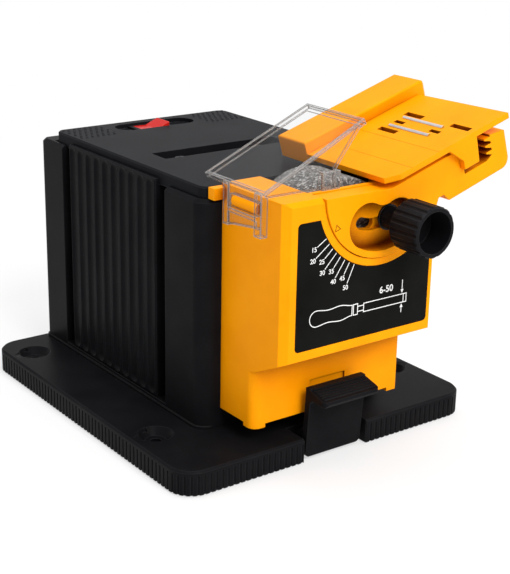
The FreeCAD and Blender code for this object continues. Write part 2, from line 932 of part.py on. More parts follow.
# Rocker switch in the trough, left end pressed
def make_switch():
    seat = unit_h - trough_depth
    in_x = rocker_half_l + 2 * switch_room
    in_y = rocker_half_w + switch_room
    out_x = in_x + switch_wall
    out_y = in_y + switch_wall
    y = trough_y
    side_y = out_y + bezel_side
    bezel = box(-out_x - bezel_rim, out_x + bezel_rim, y - side_y, y + side_y, seat, seat + bezel_t)
    bezel = chamfer_top(bezel, bezel_edge)
    bezel = bezel.cut(box(-out_x - run_gap, out_x + run_gap, y - out_y - run_gap, y + out_y + run_gap,
                          seat - over, seat + bezel_t + over))
    case_low = seat - switch_body_h
    case = box(-out_x, out_x, y - out_y, y + out_y, case_low, seat + bezel_t)
    case = case.cut(box(-in_x, in_x, y - in_y, y + in_y, rocker_z - rocker_room, unit_h))
    case = case.cut(round_y(0, rocker_z, pivot_r + run_gap, y - out_y - over, y + out_y + over))
    save("switch_bezel", bezel)
    save("switch_body", case)
    flank = rocker_half_l - rocker_taper
    shape = [(-rocker_half_l, rocker_end_h), (0, rocker_mid_h), (rocker_half_l, rocker_end_h),
             (flank, -rocker_belly), (rocker_keel_half, -rocker_keel), (-rocker_keel_half, -rocker_keel),
             (-flank, -rocker_belly)]
    rocker = prism_y(shape, y - rocker_half_w, y + rocker_half_w)
    rocker = fuse(rocker, round_y(0, 0, pivot_r, y - out_y + pivot_end_gap, y + out_y - pivot_end_gap))
    rocker.rotate(vec(0, 0, 0), vec(0, 1, 0), -rocker_swing)
    rocker.translate(vec(0, 0, rocker_z))
    save("switch_rocker", rocker)
    blades = [box(x - terminal_t / 2, x + terminal_t / 2, y - terminal_w / 2, y + terminal_w / 2,
                  case_low - terminal_l, case_low) for x in (-terminal_x, terminal_x)]
    save("switch_terminals", *blades)


make_switch()

# Cord gland and its nut in the back wall
gland_in = body_back - gland_inside
gland = fuse(round_y(0, gland_z, gland_flange_r, body_back, body_back + gland_flange_t),
             round_y(0, gland_z, gland_barrel_r, gland_in, body_back + tiny))
gland_bore = round_y(0, gland_z, gland_bore_r, gland_in - over, body_back + gland_flange_t + over)
save("cord_gland", gland.cut(gland_bore))
nut_face = body_back - body_wall
nut_back = nut_face - gland_nut_t
gland_nut = prism_y(hexagon(gland_z, gland_nut_r), nut_back, nut_face)
nut_bore = round_y(0, gland_z, gland_barrel_r + run_gap, nut_back - over, nut_face + over)
save("gland_nut", gland_nut.cut(nut_bore))


# Cradle: two saddles and two cover posts on a pad
def make_cradle():
    pad = box(-cradle_half_w, cradle_half_w, cradle_front, cradle_back, base_h, pad_top)
    adds = []
    cuts = []
    for y in saddle_places:
        saddle = box(-cradle_half_w, cradle_half_w, y - saddle_t / 2, y + saddle_t / 2, pad_top - tiny,
                     shaft_z)
        window = box(-cradle_half_w / 2, cradle_half_w / 2, y - saddle_t, y + saddle_t, pad_top + saddle_foot,
                     shaft_z - can_r - saddle_web)
        adds.append(saddle.cut(window))
        for sx in (-1, 1):
            cuts.append(post(sx * cover_screw_x, y, screw_r + run_gap,
                             shaft_z - strap_screw_reach - screw_hole_spare, shaft_z + over))
    half = web_t / 2
    adds.append(box(-half, half, saddle_places[0], saddle_places[1], pad_top - tiny, pad_top + saddle_foot))
    for sx in (-1, 1):
        x = sx * cover_screw_x
        adds.append(post(x, recess_mid, post_r, pad_top - tiny, cover_floor - cover_t))
        adds.append(box(x - half, x + half, saddle_places[1], recess_mid, pad_top - tiny,
                        shaft_z - post_web_drop))
        cuts.append(post(x, recess_mid, screw_r + run_gap, cover_screw_tip - screw_hole_spare,
                         cover_floor + over))
    for x, y in board_holes:
        adds.append(post(x, y, standoff_r, pad_top - tiny, board_z))
        cuts.append(post(x, y, board_screw_r + run_gap, pad_top + over, board_z + over))
    bore = round_y(0, shaft_z, can_r + run_gap, cradle_front - over, cradle_back + over)
    screw_holes = [post(x, y, screw_r + run_gap, base_h - over, pad_top + over)
                   for x, y in cradle_screw_places]
    return cut(fuse(pad, *adds), bore, *cuts, *screw_holes)


save("motor_cradle", make_cradle())
cradle_screw_tip = base_h - cradle_screw_reach
save("cradle_screws", *[screw_z(x, y, pad_top, cradle_screw_tip, False) for x, y in cradle_screw_places])


def make_strap(y):
    y0 = y - saddle_t / 2
    y1 = y + saddle_t / 2
    reach = 2 * can_r
    ring = tube_y(0, shaft_z, can_r + run_gap + strap_t, can_r + run_gap, y0, y1)
    ring = ring.common(box(-reach, reach, y0, y1, shaft_z, shaft_z + reach))
    ears = []
    for sx in (-1, 1):
        a, b = sorted((sx * can_r, sx * cradle_half_w))
        ear = box(a, b, y0, y1, shaft_z, shaft_z + strap_ear_t)
        ears.append(ear.cut(round_y(0, shaft_z, can_r + run_gap, y0 - over, y1 + over)))
    holes = [post(sx * cover_screw_x, y, screw_r + run_gap, shaft_z - over, shaft_z + strap_ear_t + over)
             for sx in (-1, 1)]
    return cut(fuse(ring, *ears), *holes)


save("motor_straps", *[make_strap(y) for y in saddle_places])
strap_screw_tip = shaft_z - strap_screw_reach
save("strap_screws", *[screw_z(sx * cover_screw_x, y, shaft_z + strap_ear_t, strap_screw_tip, False)
                       for y in saddle_places for sx in (-1, 1)])

# Motor: can with a nose for the front bearing, end cap with the rear one
nose = round_y(0, shaft_z, nose_r, nose_front, can_front + can_front_t)
can = fuse(tube_y(0, shaft_z, can_r, can_in, can_front, can_back),
           round_y(0, shaft_z, can_r, can_front, can_front + can_front_t), nose)
bearing_y = nose_front + nose_lip
bore_end = can_front + can_front_t + over
can = cut(can, round_y(0, shaft_z, collar_r + collar_room, nose_front - over, bore_end),
          round_y(0, shaft_z, bearing_r + run_gap, bearing_y, bore_end))
save("motor_can", can)
save("front_bearing", tube_y(0, shaft_z, bearing_r, shaft_r + run_gap, bearing_y, bearing_y + bearing_w))
rear_y = can_back + end_cap_t
rear_end = rear_y + rear_bearing_w
cap = fuse(round_y(0, shaft_z, can_r, can_back, rear_y),
           tube_y(0, shaft_z, can_in - run_gap, can_in - spigot_t, can_back - spigot_l, can_back + tiny),
           round_y(0, shaft_z, rear_bearing_r + rear_boss_t, rear_y - tiny, rear_end + rear_boss_lip))
cap = cut(cap, round_y(0, shaft_z, rear_bearing_r + run_gap, rear_y, rear_end + rear_boss_lip + over),
          round_y(0, shaft_z, collar_r, can_back - spigot_l - over, rear_y + over))
save("motor_end_cap", cap)
save("rear_bearing", tube_y(0, shaft_z, rear_bearing_r, shaft_r + run_gap, rear_y, rear_end))

core_y0 = can_front + core_from_front
core_y1 = core_y0 + core_l


def make_magnet(turn):
    y0 = core_y0 - magnet_past_core
    y1 = core_y1 + magnet_past_core
    ring = tube_y(0, shaft_z, can_in - run_gap, can_in - magnet_t, y0, y1)
    half = math.radians(magnet_sweep / 2)
    reach = 3 * can_r
    wedge = [(0, shaft_z)]
    for a in (-half, 0, half):
        wedge.append((reach * math.cos(a), shaft_z + reach * math.sin(a)))
    magnet = ring.common(prism_y(wedge, y0 - over, y1 + over))
    magnet.rotate(vec(0, 0, shaft_z), vec(0, 1, 0), turn)
    return magnet


save("motor_magnets", make_magnet(0), make_magnet(180))

shaft_tip = wheel_front - shaft_proud
collar_back = bearing_y
collar_front = wheel_back + flange_t
shaft = fuse(round_y(0, shaft_z, shaft_r, shaft_tip, rear_end),
             round_y(0, shaft_z, collar_r, collar_front, collar_back))
save("motor_shaft", shaft)
core = tube_y(0, shaft_z, core_r, shaft_r + run_gap, core_y0, core_y1)
slot_cuts = []
for k in range(core_slots):
    slot = box(core_r - core_slot_depth, core_r + over, core_y0 - over, core_y1 + over, -core_slot_half,
               core_slot_half)
    slot.rotate(vec(0, 0, 0), vec(0, 1, 0), 360 / core_slots * (k + 0.5))
    slot.translate(vec(0, 0, shaft_z))
    slot_cuts.append(slot)
save("armature_core", cut(core, *slot_cuts))
windings = []
for y0, y1 in ((core_y0 - winding_l, core_y0), (core_y1, core_y1 + winding_l)):
    ring = tube_y(0, shaft_z, winding_r, shaft_r + winding_bore_gap, y0, y1)
    rims = [e for e in ring.Edges if e.BoundBox.XMax > winding_r - tiny and len(e.Vertexes) == 1]
    windings.append(ring.makeFillet(winding_edge_r, rims))
save("armature_windings", *windings)
comm_y0 = core_y1 + winding_l + commutator_gap
save("commutator", tube_y(0, shaft_z, commutator_r, shaft_r + run_gap, comm_y0, comm_y0 + commutator_l))

holders = []
brushes = []
brush_y0 = comm_y0 + (commutator_l - brush_w) / 2
brush_y1 = brush_y0 + brush_w
brush_z0 = shaft_z - brush_h / 2
brush_z1 = shaft_z + brush_h / 2
for sx in (-1, 1):
    a, b = sorted((sx * (commutator_r + holder_gap), sx * (can_in - holder_end_gap)))
    holder = box(a, b, brush_y0 - holder_t, can_back, brush_z0 - holder_t, brush_z1 + holder_t)
    hole = box(a - over, b + over, brush_y0 - run_gap, brush_y1 + run_gap, brush_z0 - run_gap,
               brush_z1 + run_gap)
    holders.append(holder.cut(hole))
    a, b = sorted((sx * (commutator_r + brush_gap), sx * (commutator_r + brush_reach)))
    brushes.append(box(a, b, brush_y0, brush_y1, brush_z0, brush_z1))
save("brush_holders", *holders)
save("carbon_brushes", *brushes)

fan_y1 = nose_front - fan_gap
fan_y0 = fan_y1 - fan_w
fan_root = collar_r + fan_hub_t / 2
hub = tube_y(0, shaft_z, collar_r + fan_hub_t, collar_r + run_gap, fan_y0, fan_y1)
disc = tube_y(0, shaft_z, fan_r, fan_root, fan_y1 - fan_disc_t, fan_y1)
blades = []
for k in range(fan_blades):
    blade = box(fan_root, fan_r, fan_y0, fan_y1 - fan_disc_t / 2, -fan_blade_t / 2, fan_blade_t / 2)
    blade.rotate(vec(0, 0, 0), vec(0, 1, 0), 360 / fan_blades * k)
    blade.translate(vec(0, 0, shaft_z))
    blades.append(blade)
save("cooling_fan", fuse(hub, disc, *blades))

# Rectifier board on four standoffs of the cradle
board_top = board_z + board_t
board = box(-board_w / 2, board_w / 2, board_y0, board_y1, board_z, board_top)
save("rectifier_board", cut(board, *[post(x, y, board_screw_r + run_gap, board_z - over, board_top + over)
                                     for x, y in board_holes]))
bridge_y = board_y0 + bridge_from_edge
bridge = box(-bridge_half_w, bridge_half_w, bridge_y, bridge_y + bridge_t, board_top, board_top + bridge_h)
capacitor = post(0, board_y0 + capacitor_from_edge, capacitor_r, board_top, board_top + capacitor_h)
save("rectifier_parts", bridge, capacitor)
save("board_screws", *[fuse(post(x, y, board_screw_head_r, board_top, board_top + board_screw_head_h),
                            post(x, y, board_screw_r, pad_top + board_screw_lift, board_top + tiny))
                       for x, y in board_holes])

# Grinding wheel between two flanges, nut in its front cup
wheel = round_y(0, shaft_z, wheel_r, wheel_front, wheel_back)
wheel = wheel.makeChamfer(wheel_edge, [e for e in wheel.Edges if len(e.Vertexes) == 1])
cup_floor = wheel_front + wheel_cup_d
wheel = cut(wheel, round_y(0, shaft_z, wheel_bore_r + run_gap, wheel_front - over, wheel_back + over),
            round_y(0, shaft_z, wheel_cup_r, wheel_front - over, cup_floor))
save("grinding_wheel", wheel)
inner = fuse(round_y(0, shaft_z, flange_r, wheel_back, collar_front),
             round_y(0, shaft_z, wheel_bore_r, cup_floor + flange_spigot_gap, wheel_back + tiny))
save("inner_flange", inner.cut(round_y(0, shaft_z, shaft_r + run_gap, cup_floor, collar_front + over)))
save("outer_flange", tube_y(0, shaft_z, outer_flange_r, shaft_r + run_gap, cup_floor - outer_flange_t,
                            cup_floor))
nut_r = nut_flat / math.sqrt(3)
nut_y1 = cup_floor - outer_flange_t
nut_y0 = nut_y1 - nut_t
nut = prism_y(hexagon(shaft_z, nut_r), nut_y0, nut_y1)
save("wheel_nut", nut.cut(round_y(0, shaft_z, shaft_r + run_gap, nut_y0 - over, nut_y1 + over)))


# Latch: a lever on a pin in the notch of the base
def make_latch():
    half = latch_w / 2
    back = latch_y + latch_t
    lean = latch_lean
    plate = prism_x([(latch_y, latch_top - latch_brow), (latch_y + lean, latch_bottom),
                     (back + lean, latch_bottom), (back, latch_top - latch_nape), (back, latch_top),
                     (latch_y, latch_top)], -half, half)
    plate = plate.common(upright(-half, half, latch_bottom, latch_top + latch_corner_r, latch_corner_r,
                                 latch_y, back + lean))
    tip_y = latch_y - pad_reach
    tip_z = latch_top - pad_fall
    nose = [(tip_y + dy, tip_z + dz) for dy, dz in pad_nose]
    root = [(latch_y + dy, latch_top + dz) for dy, dz in pad_root]
    profile = [(back, latch_top), (tip_y, tip_z)] + nose + root + [(back, latch_top - pad_root_drop)]
    pad = prism_x(profile, -half, half)
    pad_tip = min(y for y, z in nose)
    pad = pad.common(rounded(-half, half, pad_tip, back + pad_corner_r, pad_corner_r, 0, unit_h))
    ridges = []
    run = tip_y - back + ridge_back_gap
    for i in range(ridge_count):
        share = (i + ridge_first) / (ridge_count + 1)
        y = back - ridge_back_gap + run * share
        z = latch_top - pad_fall * share - ridge_sunk
        ridges.append(round_x(y, z, ridge_r, -half + ridge_end_gap, half - ridge_end_gap))
    ears = []
    for sx in (-1, 1):
        x0, x1 = sorted((sx * (half - ear_inset), sx * (half - ear_inset - ear_w)))
        low = latch_bottom + ear_lift
        ears.append(prism_x([(latch_y + lean + ear_lift, low), (pin_y + ear_reach, low),
                             (pin_y + ear_reach, latch_pin_z + ear_rise),
                             (back, latch_pin_z + ear_top)], x0, x1))
    root_y = back - hook_root
    hook_tip = lower_y + head_wall + hook_bite
    hook_high = hook_z + hook_rise
    hook = prism_x([(root_y, hook_z - hook_root_drop), (root_y, hook_high), (hook_tip, hook_high),
                    (hook_tip, hook_z + hook_tip_lift), (lower_y, hook_z)], -hook_half_w, hook_half_w)
    body = fuse(plate, pad, hook, *ears, *ridges)
    return body.cut(round_x(pin_y, latch_pin_z, latch_pin_r + run_gap, -half - over, half + over))


save("latch_lever", make_latch())
pin_half = notch_half + latch_wall - pin_end_gap
save("latch_pin", round_x(pin_y, latch_pin_z, latch_pin_r, -pin_half, pin_half))
spring = round_x(pin_y, latch_pin_z, latch_pin_r + spring_t, -spring_half_l, spring_half_l)
leg_z = latch_pin_z - spring_leg_drop
leg = box(spring_half_l - spring_leg, spring_half_l, pin_y, base_front + latch_notch_d,
          leg_z - spring_leg, leg_z)
bore = round_x(pin_y, latch_pin_z, latch_pin_r + run_gap, -spring_half_l - over, spring_half_l + over)
save("latch_spring", fuse(spring, leg).cut(bore))


# Yellow head: hood over the wheel, panel in front, disc seat inside the panel
def arc_band(r_mid, half_w, start, end, y0, y1):
    ring = tube_y(0, 0, r_mid + half_w, r_mid - half_w, y0, y1)
    reach = 3 * (r_mid + half_w)
    steps = 4
    wedge = [(0.0, 0.0)]
    for i in range(steps + 1):
        a = math.radians(start + (end - start) * i / steps)
        wedge.append((reach * math.cos(a), reach * math.sin(a)))
    band = ring.common(prism_y(wedge, y0 - over, y1 + over))
    ends = []
    for a in (math.radians(start), math.radians(end)):
        ends.append(round_y(r_mid * math.cos(a), r_mid * math.sin(a), half_w, y0, y1))
    return fuse(band, *ends)


def label_shape(grow, y0, y1):
    plate = upright(head_left + label_inset_left - grow, head_right - label_inset_right + grow,
                    panel_bottom + label_lift - grow, head_top - label_drop + grow, label_corner_r, y0, y1)
    ring = round_y(pivot_x, pivot_z, bore_r + seat_ring_t + label_gap - grow, y0 - over, y1 + over)
    return plate.cut(ring)


def arm_clearance(y0, y1):
    return on_table(box(arm_room_s, 3 * disc_r, y0, y1, arm_low - arm_room, 3 * disc_r))


def corner_cut(wall_x, run_x, run_y, face_y):
    side = math.copysign(1, wall_x)
    edge = wall_x - side * run_x
    out = wall_x + side * run_x
    plan = [(wall_x, face_y + run_y), (edge, face_y), (edge, face_y - run_y), (out, face_y - run_y),
            (out, face_y + run_y)]
    return prism_z(plan, 0, head_top + over)


def corner_round(wall_x, r, face_y, z1):
    side = math.copysign(1, wall_x)
    edge = wall_x - side * r
    out = wall_x + side * r
    mid = r * (1 - math.sqrt(0.5))
    start = vec(wall_x, face_y + r, 0)
    end = vec(edge, face_y, 0)
    arc = Part.Arc(start, vec(wall_x - side * mid, face_y + mid, 0), end).toShape()
    rest = Part.makePolygon([end, vec(edge, face_y - r, 0), vec(out, face_y - r, 0),
                             vec(out, face_y + r, 0), start])
    return Part.Face(Part.Wire([arc] + rest.Edges)).extrude(vec(0, 0, z1))


def head_corners(inset):
    left = head_left + inset
    right = head_right - inset
    low_top = lower_box_top + inset
    return [corner_cut(left, left_chamfer_x, left_chamfer_y, panel_y + inset),
            corner_cut(right, right_chamfer_x, right_chamfer_y, panel_y + inset),
            corner_round(left, low_corner_r - inset / 2, lower_y + inset, low_top),
            corner_cut(right, right_chamfer_x, right_chamfer_y, lower_y + inset).common(
                box(0, 2 * right, panel_y, body_front, 0, low_top))]


def make_head():
    w = head_wall
    back = body_front
    outline = [(back, head_bottom), (lower_y, head_bottom), (lower_y, lower_box_top),
               (panel_y, panel_bottom), (panel_y, head_top - head_top_chamfer),
               (panel_y + head_top_chamfer, head_top), (back, head_top)]
    feet = [box(x0, x0 + head_foot, lower_y, lower_y + head_foot, head_bottom - head_foot_h,
                head_bottom + tiny) for x0 in (head_left, head_right - head_foot)]
    solid = cut(fuse(prism_x(outline, head_left, head_right), *feet), *head_corners(0))
    inner = [(back + over, head_bottom + w), (lower_y + w, head_bottom + w), (lower_y + w, lower_box_top + w),
             (panel_y + w, panel_bottom + w), (panel_y + w, head_top - w), (back + over, head_top - w)]
    hollow = cut(prism_x(inner, head_left + w, head_right - w), *head_corners(w))
    ring = round_y(pivot_x, pivot_z, bore_r + seat_ring_t, panel_y, seat_back).common(solid)
    top_wall = box(head_left + w / 2, pivot_x, panel_y + w, seat_back, head_top - 3 * w, head_top - w + tiny)
    tab_spans = ((head_left - tab_out, head_left + w / 2), (head_right - w / 2, head_right + tab_out))
    tabs = [box(x0, x1, back - tab_front, back + body_wall - tab_back_gap, post_top + tab_seat_gap,
                head_top - tab_top_gap) for x0, x1 in tab_spans]
    end_x = head_left - bar_reach
    half = bar_h / 2
    bar = fuse(box(end_x + half, head_left + w / 2, bar_y0, bar_y1, bar_z - half, bar_z + half),
               round_y(end_x + half, bar_z, half, bar_y0, bar_y1))
    shell = fuse(solid.cut(hollow), ring, top_wall.common(solid), bar, *tabs)
    bore = round_y(pivot_x, pivot_z, bore_r, panel_y - w, seat_back - seat_plate_t)
    mouth = box(deck_edge_x, head_right - w, seat_back, back + over, head_top - w - mouth_drop,
                head_top + over)
    stud_hole = round_y(clamp_x, clamp_z, stud_r + run_gap, panel_y, seat_back + over)
    stud_pocket = round_y(clamp_x, clamp_z, stud_head_r + run_gap, seat_back - stud_head_t, seat_back + over)
    seat_half = stud_r + stud_room
    spare = math.degrees((stud_head_r + seat_window_gap + seat_half) / clamp_r)
    seat_window = arc_band(clamp_r, seat_half, clamp_angle - tilt_travel, clamp_angle - spare,
                           seat_back - seat_plate_t - over, seat_back + over)
    seat_window.translate(vec(pivot_x, 0, pivot_z))
    window = box(-hook_half_w - hook_room, hook_half_w + hook_room, lower_y - over, lower_y + w + over,
                 hook_z - hook_room - hook_top_room, hook_z + hook_rise + hook_top_room)
    latch_bed = box(-latch_bed_half, latch_bed_half, lower_y - over, lower_y + latch_bed_d,
                    hook_z - hook_room, latch_top + latch_bed_rise)
    label_bed = label_shape(label_gap, panel_y - over, panel_y + label_sink)
    wheel_room = round_y(0, shaft_z, wheel_r + wheel_side_gap, seat_back, back + over)
    return cut(shell, bore, mouth, stud_hole, stud_pocket, seat_window, window, latch_bed, label_bed,
               wheel_room, arm_clearance(panel_y - w, seat_back - seat_plate_t))


save("head_shell", make_head())
label = label_shape(0, panel_y - label_proud, panel_y + label_sink)
save("scale_label", label.cut(arm_clearance(panel_y - head_wall, panel_y + head_wall)))


# Tilting table frame: disc with the clamp slot, arm with a toothed notch, deck and rear rail
def make_arm():
    top = -arm_drop
    low = arm_low
    wall = notch_s + notch_w
    floor = top - notch_depth
    arm = prism_y([(0, top), (wall - notch_ramp, top), (wall, top - post_fall),
                   (arm_l, top - post_fall - post_lean), (arm_l, low), (0, low)], cheek_front, cheek_back)
    corner = [e for e in arm.Edges if e.BoundBox.XMin > arm_l - tiny and e.BoundBox.ZMax < low + tiny]
    arm = arm.makeFillet(arm_end_r, corner)
    y0 = cheek_front - over
    y1 = cheek_back + over
    bite = prism_y([(bite_s - bite_w / 2, low - over), (bite_s - bite_top / 2, low + bite_h),
                    (bite_s + bite_top / 2, low + bite_h), (bite_s + bite_w / 2, low - over)], y0, y1)
    notch = prism_y([(notch_s, 0), (notch_s, floor), (wall - notch_ramp, floor),
                     (wall, floor + notch_ramp / 2), (wall, 0)], y0, y1)
    teeth = []
    for i in range(tooth_count):
        z = top - tooth_start - i * tooth_pitch
        teeth.append(prism_y([(wall + over, z), (wall - tooth_reach, z), (wall - tooth_reach, z - tooth_t),
                              (wall + over, z - tooth_pitch * tooth_share)], cheek_front, cheek_back))
    return fuse(cut(arm, bite, notch), *teeth)


def make_rail(top, low):
    y0 = rail_front
    y1 = rail_front + rail_w
    edge = rail_s + rail_l
    c = rail_chamfer
    w = rail_wall
    rail = box(rail_s, edge, y0, y1, low, rail_rise)
    past = edge + over
    above = rail_rise + over
    rail = rail.cut(prism_y([(edge - c, rail_rise), (edge, rail_rise - c), (past, rail_rise - c),
                             (past, above), (edge - c, above)], y0 - over, y1 + over))
    rail = rail.cut(prism_z([(edge - c, y0), (edge, y0 + c), (past, y0 + c), (past, y0 - over),
                             (edge - c, y0 - over)], low - over, above))
    rail = rail.makeFillet(rail_edge_r, [e for e in rail.Edges if e.BoundBox.ZMin > rail_rise - tiny])
    foot = box(rail_s - over, deck_s, y0 - over, y1 + over, low - over, top + over)
    hollow = box(deck_s + w, edge - 2 * w, y0 + w, y1 - w, low - over, rail_rise - w)
    end = box(rail_s + w, deck_s + w + over, y0 + w, y1 - w, top, rail_rise - w)
    return cut(rail, foot, hollow, end)


def index_mark():
    triangles = []
    for r in (index_r, index_r - index_line):
        points = []
        for turn in (90, 210, 330):
            a = math.radians(turn)
            points.append((index_inset - disc_r + r * math.cos(a), index_h + r * math.sin(a)))
        triangles.append(prism_y(points, cheek_front - over, cheek_front + index_depth))
    return triangles[0].cut(triangles[1])


def make_frame():
    disc = round_y(0, 0, disc_r, cheek_front, cheek_back)
    top = -arm_drop
    low = top - deck_t
    a = math.radians(table_tilt + flat_spare)
    far = 2 * disc_r
    flat = [(-far, top + far * math.tan(a)), (arm_drop, top), (far, top), (far, far), (-far, far)]
    disc = disc.cut(prism_y(flat, cheek_front - over, cheek_back + over))
    y0 = cheek_back - over
    y1 = rail_front + over
    deck = box(deck_s, arm_l - deck_inset, y0, y1, low, top)
    ribs = [box(deck_s + s, deck_s + s + deck_rib_t, y0, y1, low - deck_rib_h, low + tiny)
            for s in deck_rib_places]
    pads = [post(s, y, pad_r, top - tiny, plate_low)
            for s in (deck_s + pad_inset_left, arm_l - pad_inset_right)
            for y in (cheek_back + pad_inset_y, rail_front - pad_inset_y)]
    frame = fuse(disc, make_arm(), deck, make_rail(top, low), *ribs, *pads)
    last = clamp_angle - table_tilt
    first = last - tilt_travel - math.degrees(slot_spare / clamp_r)
    pocket_first = first - math.degrees(pocket_spare / clamp_r)
    pocket = arc_band(clamp_r, pocket_half_w, pocket_first, last, cheek_front - over, pocket_floor)
    slot = arc_band(clamp_r, stud_r + stud_room, first, last, pocket_floor - over, cheek_back + over)
    return on_table(cut(frame, pocket, slot, index_mark()))


save("tilt_frame", make_frame())


# Rest plate on the frame: a tongue hangs in the toothed notch, an apron in front of it
def make_plate():
    y0 = cheek_front - plate_overhang
    y1 = rail_front - plate_gap
    s1 = plate_s + plate_l
    top = plate_low + plate_t
    outline = [(plate_s, y0 + plate_corner_y), (plate_s + plate_corner_s, y0), (s1, y0),
               (s1 - plate_taper, y1), (plate_s, y1)]
    plate = prism_z(outline, plate_low, top)
    tongue_s = notch_s + tongue_room
    hang = plate_low + tiny
    end = tongue_s + tongue_l
    tongue = prism_y([(tongue_s, hang), (tongue_s, -tongue_drop), (end - tongue_lean, -tongue_drop),
                      (end, hang)], y0, y0 + tongue_t)
    apron_s = tongue_s - apron_step
    apron = prism_y([(tongue_s - apron_l, hang), (apron_s, -apron_slope), (apron_s, -tongue_drop),
                     (tongue_s + tongue_lean, -tongue_drop), (tongue_s + tongue_lean, hang)],
                    y0, cheek_front - apron_gap)
    plate = fuse(plate, tongue, apron)
    rod_y1 = y1 - rod_from_rail
    rod_y0 = rod_y1 - rod_l
    axis_z = top + rod_r - 2 * rod_r * rod_sink
    cuts = [round_y(s, axis_z, rod_r + run_gap, rod_y0 - rod_end_gap, rod_y1 + rod_end_gap)
            for s in rod_places]
    mid = (rod_places[0] + rod_places[1]) / 2
    windows = [(mid + s, wide, rod_y1 + ahead, length) for s, wide, length, ahead in far_windows]
    windows += [(mid + s, wide, rod_y0 + ahead, length) for s, wide, length, ahead in near_windows]
    for s, wide, y_top, length in windows:
        cuts.append(box(s - wide / 2, s + wide / 2, y_top - length, y_top, plate_low - over, top + over))
    for s in crease_places:
        cuts.append(box(s - crease_w / 2, s + crease_w / 2, y0 - over, y1 + over, top - crease_d, top + over))
    rods = [round_y(s, axis_z, rod_r, rod_y0, rod_y1) for s in rod_places]
    return cut(plate, *cuts), rods


plate, rods = make_plate()
save("rest_plate", on_table(plate))
save("rest_rods", *[on_table(r) for r in rods])

# Clamp: stud held in the seat plate, washer, knob with a brass insert
head = round_y(clamp_x, clamp_z, stud_head_r, seat_back - stud_head_t, seat_back)
save("clamp_stud", fuse(head, round_y(clamp_x, clamp_z, stud_r, stud_tip, seat_back - stud_head_t + tiny)))
washer_y0 = pocket_floor - washer_gap - washer_t
save("clamp_washer", tube_y(clamp_x, clamp_z, washer_r, stud_r + run_gap, washer_y0, washer_y0 + washer_t))


def make_knob():
    body = round_y(clamp_x, clamp_z, knob_r, knob_front, knob_back)
    body = body.makeChamfer(knob_edge, [e for e in body.Edges if len(e.Vertexes) == 1])
    flutes = []
    flute_at = knob_r + flute_r * flute_out
    for k in range(knob_flutes):
        a = math.radians(360 / knob_flutes * k)
        flutes.append(round_y(clamp_x + flute_at * math.cos(a), clamp_z + flute_at * math.sin(a), flute_r,
                              knob_front - over, knob_back + over))
    neck = round_y(clamp_x, clamp_z, neck_r, knob_back - over, washer_y0)
    cup = round_y(clamp_x, clamp_z, knob_cup_r, knob_front - over, knob_front + knob_cup_d)
    bore = round_y(clamp_x, clamp_z, stud_r + bore_room, knob_front, washer_y0 + over)
    bed = round_y(clamp_x, clamp_z, insert_r, washer_y0 - insert_l, washer_y0 + over)
    return cut(fuse(cut(body, *flutes), neck), cup, bore, bed)


save("clamp_knob", make_knob())
save("knob_insert", tube_y(clamp_x, clamp_z, insert_r - run_gap, stud_r + run_gap,
                           washer_y0 - insert_l, washer_y0))


# Clear spark guard: sloping roof with a raised rim, front wall, leg clipped over the bar on the left wall
def make_guard():
    y0 = seat_back + guard_front_gap
    y_left = y0 + guard_back_left
    y_right = y0 + guard_back_right
    x_in = head_left - guard_left_gap
    x0 = x_in - guard_t
    guard_left_z = head_top + guard_left_rise
    guard_right_z = guard_left_z + guard_climb
    foot_z = head_top + guard_foot_gap
    shoulder_z = foot_z + guard_shoulder
    leg_z = head_top - guard_leg_drop
    dx = guard_right_x - x0
    dz = guard_climb
    length = math.hypot(dx, dz)
    ux, uz = dx / length, dz / length
    t = guard_t

    def along(s, h):
        return (x0 + ux * s - uz * h, guard_left_z + uz * s + ux * h)

    def slab(rise):
        return prism_y([along(0, rise), along(length, rise), along(length, -t - rise), along(0, -t - rise)],
                       y0, y_left)

    def plan(inset):
        return [(x0 + inset, y0 + inset), (guard_right_x - inset, y0 + inset),
                (guard_right_x - inset, y_right - inset), (x0 + inset, y_left - inset)]

    reach = 2 * length
    trim = prism_z([(x0 - reach, y_left), (x0, y_left), (guard_right_x, y_right),
                    (guard_right_x + reach, y_right), (guard_right_x + reach, y_left + reach),
                    (x0 - reach, y_left + reach)], 0, reach + guard_right_z)
    inside = prism_z(plan(guard_rim), 0, reach + guard_right_z)
    roof = slab(0).cut(trim)
    rim = cut(slab(guard_rim_rise), trim, inside)
    front = prism_y([(x0, guard_left_z - over), along(length - over, -over), (guard_foot_x, shoulder_z),
                     (guard_foot_x, foot_z), (x0, foot_z)], y0, y0 + t)
    clip = box(guard_foot_x - clip_w, guard_foot_x, y0 - clip_d, y0 + t, foot_z, shoulder_z)
    clip = clip.cut(box(guard_foot_x - clip_w + clip_wall, guard_foot_x - clip_wall,
                        y0 - clip_d + clip_wall, y0, foot_z - over, shoulder_z + over))
    leg_y1 = y0 + guard_leg_l
    leg = prism_x([(y0, leg_z + guard_leg_rise), (leg_y1, leg_z), (leg_y1, guard_left_z), (y0, guard_left_z)],
                  x0, x_in)
    ribs = [box(x0 - guard_leg_proud, x_in, y0, y0 + guard_leg_rib, leg_z, guard_left_z),
            box(x0 - guard_leg_proud / 2, x_in, leg_y1 - guard_leg_back_rib, leg_y1, leg_z, guard_left_z)]
    sill_z = bar_z - bar_h / 2 - bar_room
    sill = box(x0 - guard_leg_proud / 2, x_in, y0, leg_y1, sill_z - sill_t, sill_z)
    window = box(x0 - guard_leg_proud - over, x_in + over, bar_y0 - bar_room, bar_y1 + bar_room,
                 sill_z, bar_z + bar_h / 2 + bar_room)
    return fuse(roof, rim, front, clip, leg, sill, *ribs).cut(window)


save("spark_guard", make_guard())
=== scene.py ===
import bpy
import bmesh
import math
from mathutils import Matrix, Vector


